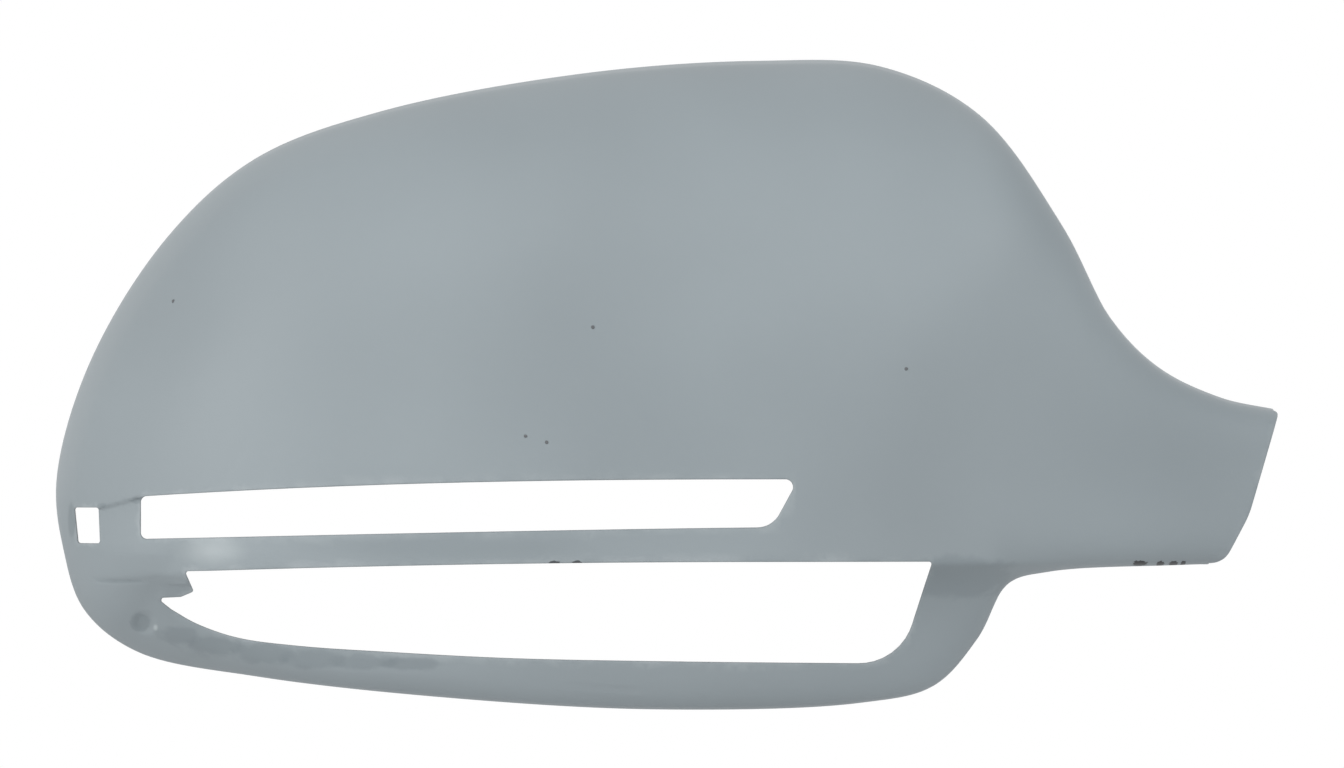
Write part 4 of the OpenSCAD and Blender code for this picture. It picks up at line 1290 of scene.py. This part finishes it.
class MIRRORCOVER_OT_pins(bpy.types.Operator):
    """Build the two locating pins on their posts"""

    bl_idname = "mirror_cover.pins"
    bl_label = "Build locating pins"

    def execute(self, context):
        shape = current_shape()
        f = context.scene.mirror_cover_fixings
        parts = [pin_mesh(shape, f, at) for at in (shape.pin, shape.inner_pin)]
        obj = new_object("locating_pins", *joined(parts), primer_material())
        smooth_by_angle(obj, SHARP_FROM)
        keep_piece(obj, behind=True)
        return {"FINISHED"}


def smooth_by_angle(obj, degrees):
    """Smooth shading with sharp edges marked where faces meet at more than an angle."""
    bm = bmesh.new()
    bm.from_mesh(obj.data)
    for edge in bm.edges:
        edge.smooth = len(edge.link_faces) == 2 and edge.calc_face_angle() < math.radians(degrees)
    bm.to_mesh(obj.data)
    bm.free()


def hook_mesh(f, wall, draft):
    """One snap hook at the origin: X in from the wall, Y back to the seat, Z along the rim."""
    t, gap, barb = mm(f.hook_thickness), mm(f.hook_gap), mm(f.hook_barb)
    tip = -mm(f.hook_inset)
    root = tip - mm(f.hook_length)
    w = mm(f.hook_width)
    in_wall, arm, catch = wall / 2 - math.tan(draft) * root, wall + gap, tip - HOOK_CATCH * barb
    body = [
        (in_wall, root), (arm + t, root), (arm + t, catch), (arm + t + barb, catch + BARB_FRONT * barb),
        (arm + t + barb, catch + BARB_BACK * barb), (arm + HOOK_TIP * t, tip), (arm, tip),
        (arm, root + t), (in_wall, root + t),
    ]
    foot = root + WEB_OVERLAP
    web = [(in_wall, root - WEB_REACH * gap), (arm + t, foot), (in_wall, foot)]
    rib = mm(f.rib_thickness)
    bm = bmesh.new()
    for outline, low, high in ((body, -w / 2, w / 2), (web, -w / 2, rib - w / 2), (web, w / 2 - rib, w / 2)):
        rings = [[bm.verts.new((x / 1000, y / 1000, z / 1000)) for x, y in outline] for z in (low, high)]
        n = len(outline)
        bm.faces.new(rings[0][::-1])
        bm.faces.new(rings[1])
        for k in range(n):
            bm.faces.new((rings[0][k], rings[0][(k + 1) % n], rings[1][(k + 1) % n], rings[1][k]))
    bmesh.ops.recalc_face_normals(bm, faces=bm.faces)
    bmesh.ops.bevel(bm, geom=list(bm.edges), offset=HOOK_BEVEL, segments=2, affect="EDGES", profile=0.5)
    mesh = bpy.data.meshes.new("Snap hook")
    bm.to_mesh(mesh)
    bm.free()
    shade(mesh, False)
    return mesh


def placing_tree(name):
    """Geometry nodes that set a copy of a piece on every point, turned about Y by the point's own turn."""
    inputs = [("Geometry", "Geometry", None), ("Piece", "Object", None), ("Material", "Material", None)]
    inputs += [(label, "Float", 1.0) for label in ("Size", "Smallest", "Largest")]
    tree, given, result = group(
        name, inputs + [("Seed", "Int", 3)], [("Geometry", "Geometry")], "GeometryNodeTree"
    )
    piece = add(tree, "GeometryNodeObjectInfo", {"Object": given["Piece"]}).outputs["Geometry"]
    turn = add(tree, "GeometryNodeInputNamedAttribute", {"Name": "turn"}, data_type="FLOAT")
    turned = add(tree, "ShaderNodeCombineXYZ", {"Y": turn.outputs["Attribute"]}).outputs["Vector"]
    span = {"Min": given["Smallest"], "Max": given["Largest"], "Seed": given["Seed"]}
    vary = add(tree, "FunctionNodeRandomValue", span, data_type="FLOAT").outputs["Value"]
    spots = {"Points": given["Geometry"], "Instance": piece, "Rotation": turned}
    spots["Scale"] = calc(tree, "MULTIPLY", given["Size"], vary)
    placed = add(tree, "GeometryNodeInstanceOnPoints", spots)
    return finish_tree(tree, given, result, placed.outputs["Instances"])


def placed_copies(name, places, turns, mesh, material, sizes=(1.0, 1.0)):
    """One object of copies of a mesh at places in metres, made by geometry nodes."""
    points = bpy.data.meshes.new(name + " places")
    points.from_pydata([tuple(p) for p in places], [], [])
    weigh(points, "turn", turns)
    piece = linked(name + " piece", mesh)
    values = {"Piece": piece, "Material": material, "Smallest": sizes[0], "Largest": sizes[1]}
    out = built_by_nodes(name, points, placing_tree("Place " + name.replace("_", " ")), values)
    bpy.data.objects.remove(piece)
    return out


def built_by_nodes(name, start, tree, values):
    """One finished object that a geometry node tree makes from a mesh."""
    holder = linked(name + " start", start)
    modifier = holder.modifiers.new("Build", "NODES")
    modifier.node_group = tree
    for item in tree.interface.items_tree:
        if item.item_type == "SOCKET" and item.in_out == "INPUT" and item.name in values:
            modifier[item.identifier] = values[item.name]
    holder.update_tag()
    bpy.context.view_layer.update()
    graph = bpy.context.evaluated_depsgraph_get()
    made = bpy.data.meshes.new_from_object(holder.evaluated_get(graph))
    holder.modifiers.remove(modifier)
    bpy.data.objects.remove(holder)
    made.name = name
    if not made.polygons:
        raise RuntimeError(name + " came out empty")
    return linked(name, made)


class MIRRORCOVER_OT_hooks(bpy.types.Operator):
    """Build the snap hooks round the inside of the rim"""

    bl_idname = "mirror_cover.hooks"
    bl_label = "Build snap hooks"

    def execute(self, context):
        shape = current_shape()
        f = context.scene.mirror_cover_fixings
        spots = [OUTER_HOOK]
        for (start, span), count in ((TOP_HOOKS, f.top_hooks), (BOTTOM_HOOKS, f.bottom_hooks)):
            spots += [start + span * (k + 0.5) / count for k in range(count)]
        seat = mm(shape.s.seat_depth)
        places, turns = [], []
        for spot in spots:
            p, y, turn = profile_frame(shape, spot)
            places.append((p[0] / 1000, (y - seat) / 1000, p[1] / 1000))
            turns.append(turn)
        mesh = hook_mesh(f, shape.wall, shape.s.draft)
        obj = placed_copies("snap_hooks", places, turns, mesh, primer_material())
        keep_piece(obj, behind=True)
        return {"FINISHED"}


class MIRRORCOVER_OT_nibs(bpy.types.Operator):
    """Build the few dust nibs that were caught in the primer"""

    bl_idname = "mirror_cover.nibs"
    bl_label = "Build dust nibs"

    def execute(self, context):
        shape = current_shape()
        spots = np.array(NIB_PLACES)
        depth = shape.depth_at(spots) - mm(shape.s.seat_depth)
        places = [(p[0] / 1000, y / 1000, p[1] / 1000) for p, y in zip(spots, depth)]
        bm = bmesh.new()
        bmesh.ops.create_icosphere(bm, subdivisions=2, radius=NIB_RADIUS)
        bmesh.ops.scale(bm, verts=bm.verts, vec=NIB_FLAT)
        mesh = bpy.data.meshes.new("Dust nib")
        bm.to_mesh(mesh)
        bm.free()
        shade(mesh, True)
        turns = [NIB_TURN * k for k in range(len(places))]
        dust = plain_material("Trapped dust", DUST, DUST_ROUGH)
        keep_piece(placed_copies("dust_nibs", places, turns, mesh, dust, NIB_SIZES))
        return {"FINISHED"}


def area_light(name, place, aim, size, watts, tint):
    data = bpy.data.lights.new(name, "AREA")
    data.shape = "RECTANGLE"
    data.size, data.size_y = size
    data.energy = watts
    data.color = tint
    obj = linked(name, data)
    obj.location = place
    obj.rotation_euler = (Vector(aim) - Vector(place)).to_track_quat("-Z", "Y").to_euler()


def surroundings():
    """Soft light all round that the camera, and what mirrors or lets light through, sees as white."""
    world = bpy.data.worlds.new("Surroundings")
    world.use_nodes = True
    tree = world.node_tree
    tree.nodes.clear()
    soft = add(tree, "ShaderNodeBackground", {"Color": AMBIENT_TINT, "Strength": AMBIENT})
    white = add(tree, "ShaderNodeBackground", {"Color": (1, 1, 1, 1), "Strength": 1.0})
    path = tree.nodes.new("ShaderNodeLightPath").outputs
    seen = calc(tree, "MAXIMUM", path["Is Camera Ray"], path["Is Glossy Ray"])
    seen = calc(tree, "MAXIMUM", seen, path["Is Transmission Ray"])
    mix = add(tree, "ShaderNodeMixShader", {0: seen, 1: soft.outputs[0], 2: white.outputs[0]})
    add(tree, "ShaderNodeOutputWorld", {"Surface": mix.outputs[0]})
    return world


class MIRRORCOVER_OT_stage(bpy.types.Operator):
    """Set the floor, the softboxes, the white surroundings and the camera"""

    bl_idname = "mirror_cover.stage"
    bl_label = "Set stage"

    def execute(self, context):
        scene = context.scene
        s = scene.mirror_cover_stage
        mesh = bpy.data.meshes.new("Floor")
        ends = [(-FLOOR_HALF, -FLOOR_HALF), (FLOOR_HALF, -FLOOR_HALF), (FLOOR_HALF, FLOOR_HALF),
                (-FLOOR_HALF, FLOOR_HALF)]
        mesh.from_pydata([(x, y, -s.floor_drop) for x, y in ends], [], [(0, 1, 2, 3)])
        mesh.materials.append(plain_material("Pale floor", FLOOR_TONE, FLOOR_ROUGH))
        floor = linked("Floor", mesh)
        for name, (place, aim, size, watts, tint, power) in SOFTBOXES.items():
            area_light(name, place, aim, size, watts * getattr(s, power), tint)
        scene.world = surroundings()
        data = bpy.data.cameras.new("Camera")
        data.sensor_width = SENSOR
        data.lens = SENSOR * s.distance / s.frame_width
        data.clip_start, data.clip_end = CLIP
        camera = linked("Camera", data)
        camera.location = (s.look_x, -s.distance, s.look_z)
        camera.rotation_euler = (math.pi / 2, 0, 0)
        scene.camera = camera
        scene.view_settings.view_transform = "Standard"
        return {"FINISHED"}


class MIRRORCOVER_PT_panel(bpy.types.Panel):
    """The cover's sizes and the buttons that build it"""

    bl_label = "Mirror cover"
    bl_idname = "MIRRORCOVER_PT_panel"
    bl_space_type = "VIEW_3D"
    bl_region_type = "UI"
    bl_category = "Mirror cover"

    def draw(self, context):
        scene = context.scene
        parts = (
            ("Shell", scene.mirror_cover_shell, ("shell",)),
            ("Openings", scene.mirror_cover_openings, ()),
            ("Fixings", scene.mirror_cover_fixings, ("ribs", "pins", "hooks")),
            ("Finish", scene.mirror_cover_finish, ("nibs",)),
            ("Stage", scene.mirror_cover_stage, ("stage",)),
        )
        for title, group_of, buttons in parts:
            box = self.layout.box()
            box.label(text=title)
            for key in group_of.bl_rna.properties.keys():
                if key not in ("rna_type", "name"):
                    box.prop(group_of, key)
            for button in buttons:
                box.operator("mirror_cover." + button)


CLASSES = (
    MirrorCoverShell,
    MirrorCoverOpenings,
    MirrorCoverFixings,
    MirrorCoverFinish,
    MirrorCoverStage,
    MIRRORCOVER_OT_shell,
    MIRRORCOVER_OT_ribs,
    MIRRORCOVER_OT_pins,
    MIRRORCOVER_OT_hooks,
    MIRRORCOVER_OT_nibs,
    MIRRORCOVER_OT_stage,
    MIRRORCOVER_PT_panel,
)
GROUPS = {
    "mirror_cover_shell": MirrorCoverShell,
    "mirror_cover_openings": MirrorCoverOpenings,
    "mirror_cover_fixings": MirrorCoverFixings,
    "mirror_cover_finish": MirrorCoverFinish,
    "mirror_cover_stage": MirrorCoverStage,
}


def register():
    for cls in CLASSES:
        bpy.utils.register_class(cls)
    for name, cls in GROUPS.items():
        setattr(bpy.types.Scene, name, bpy.props.PointerProperty(type=cls))


def unregister():
    for name in GROUPS:
        delattr(bpy.types.Scene, name)
    for cls in reversed(CLASSES):
        bpy.utils.unregister_class(cls)


def main():
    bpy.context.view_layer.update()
    register()
    for step in ("shell", "ribs", "pins", "hooks", "nibs", "stage"):
        getattr(bpy.ops.mirror_cover, step)()


if __name__ == "__main__":
    main()
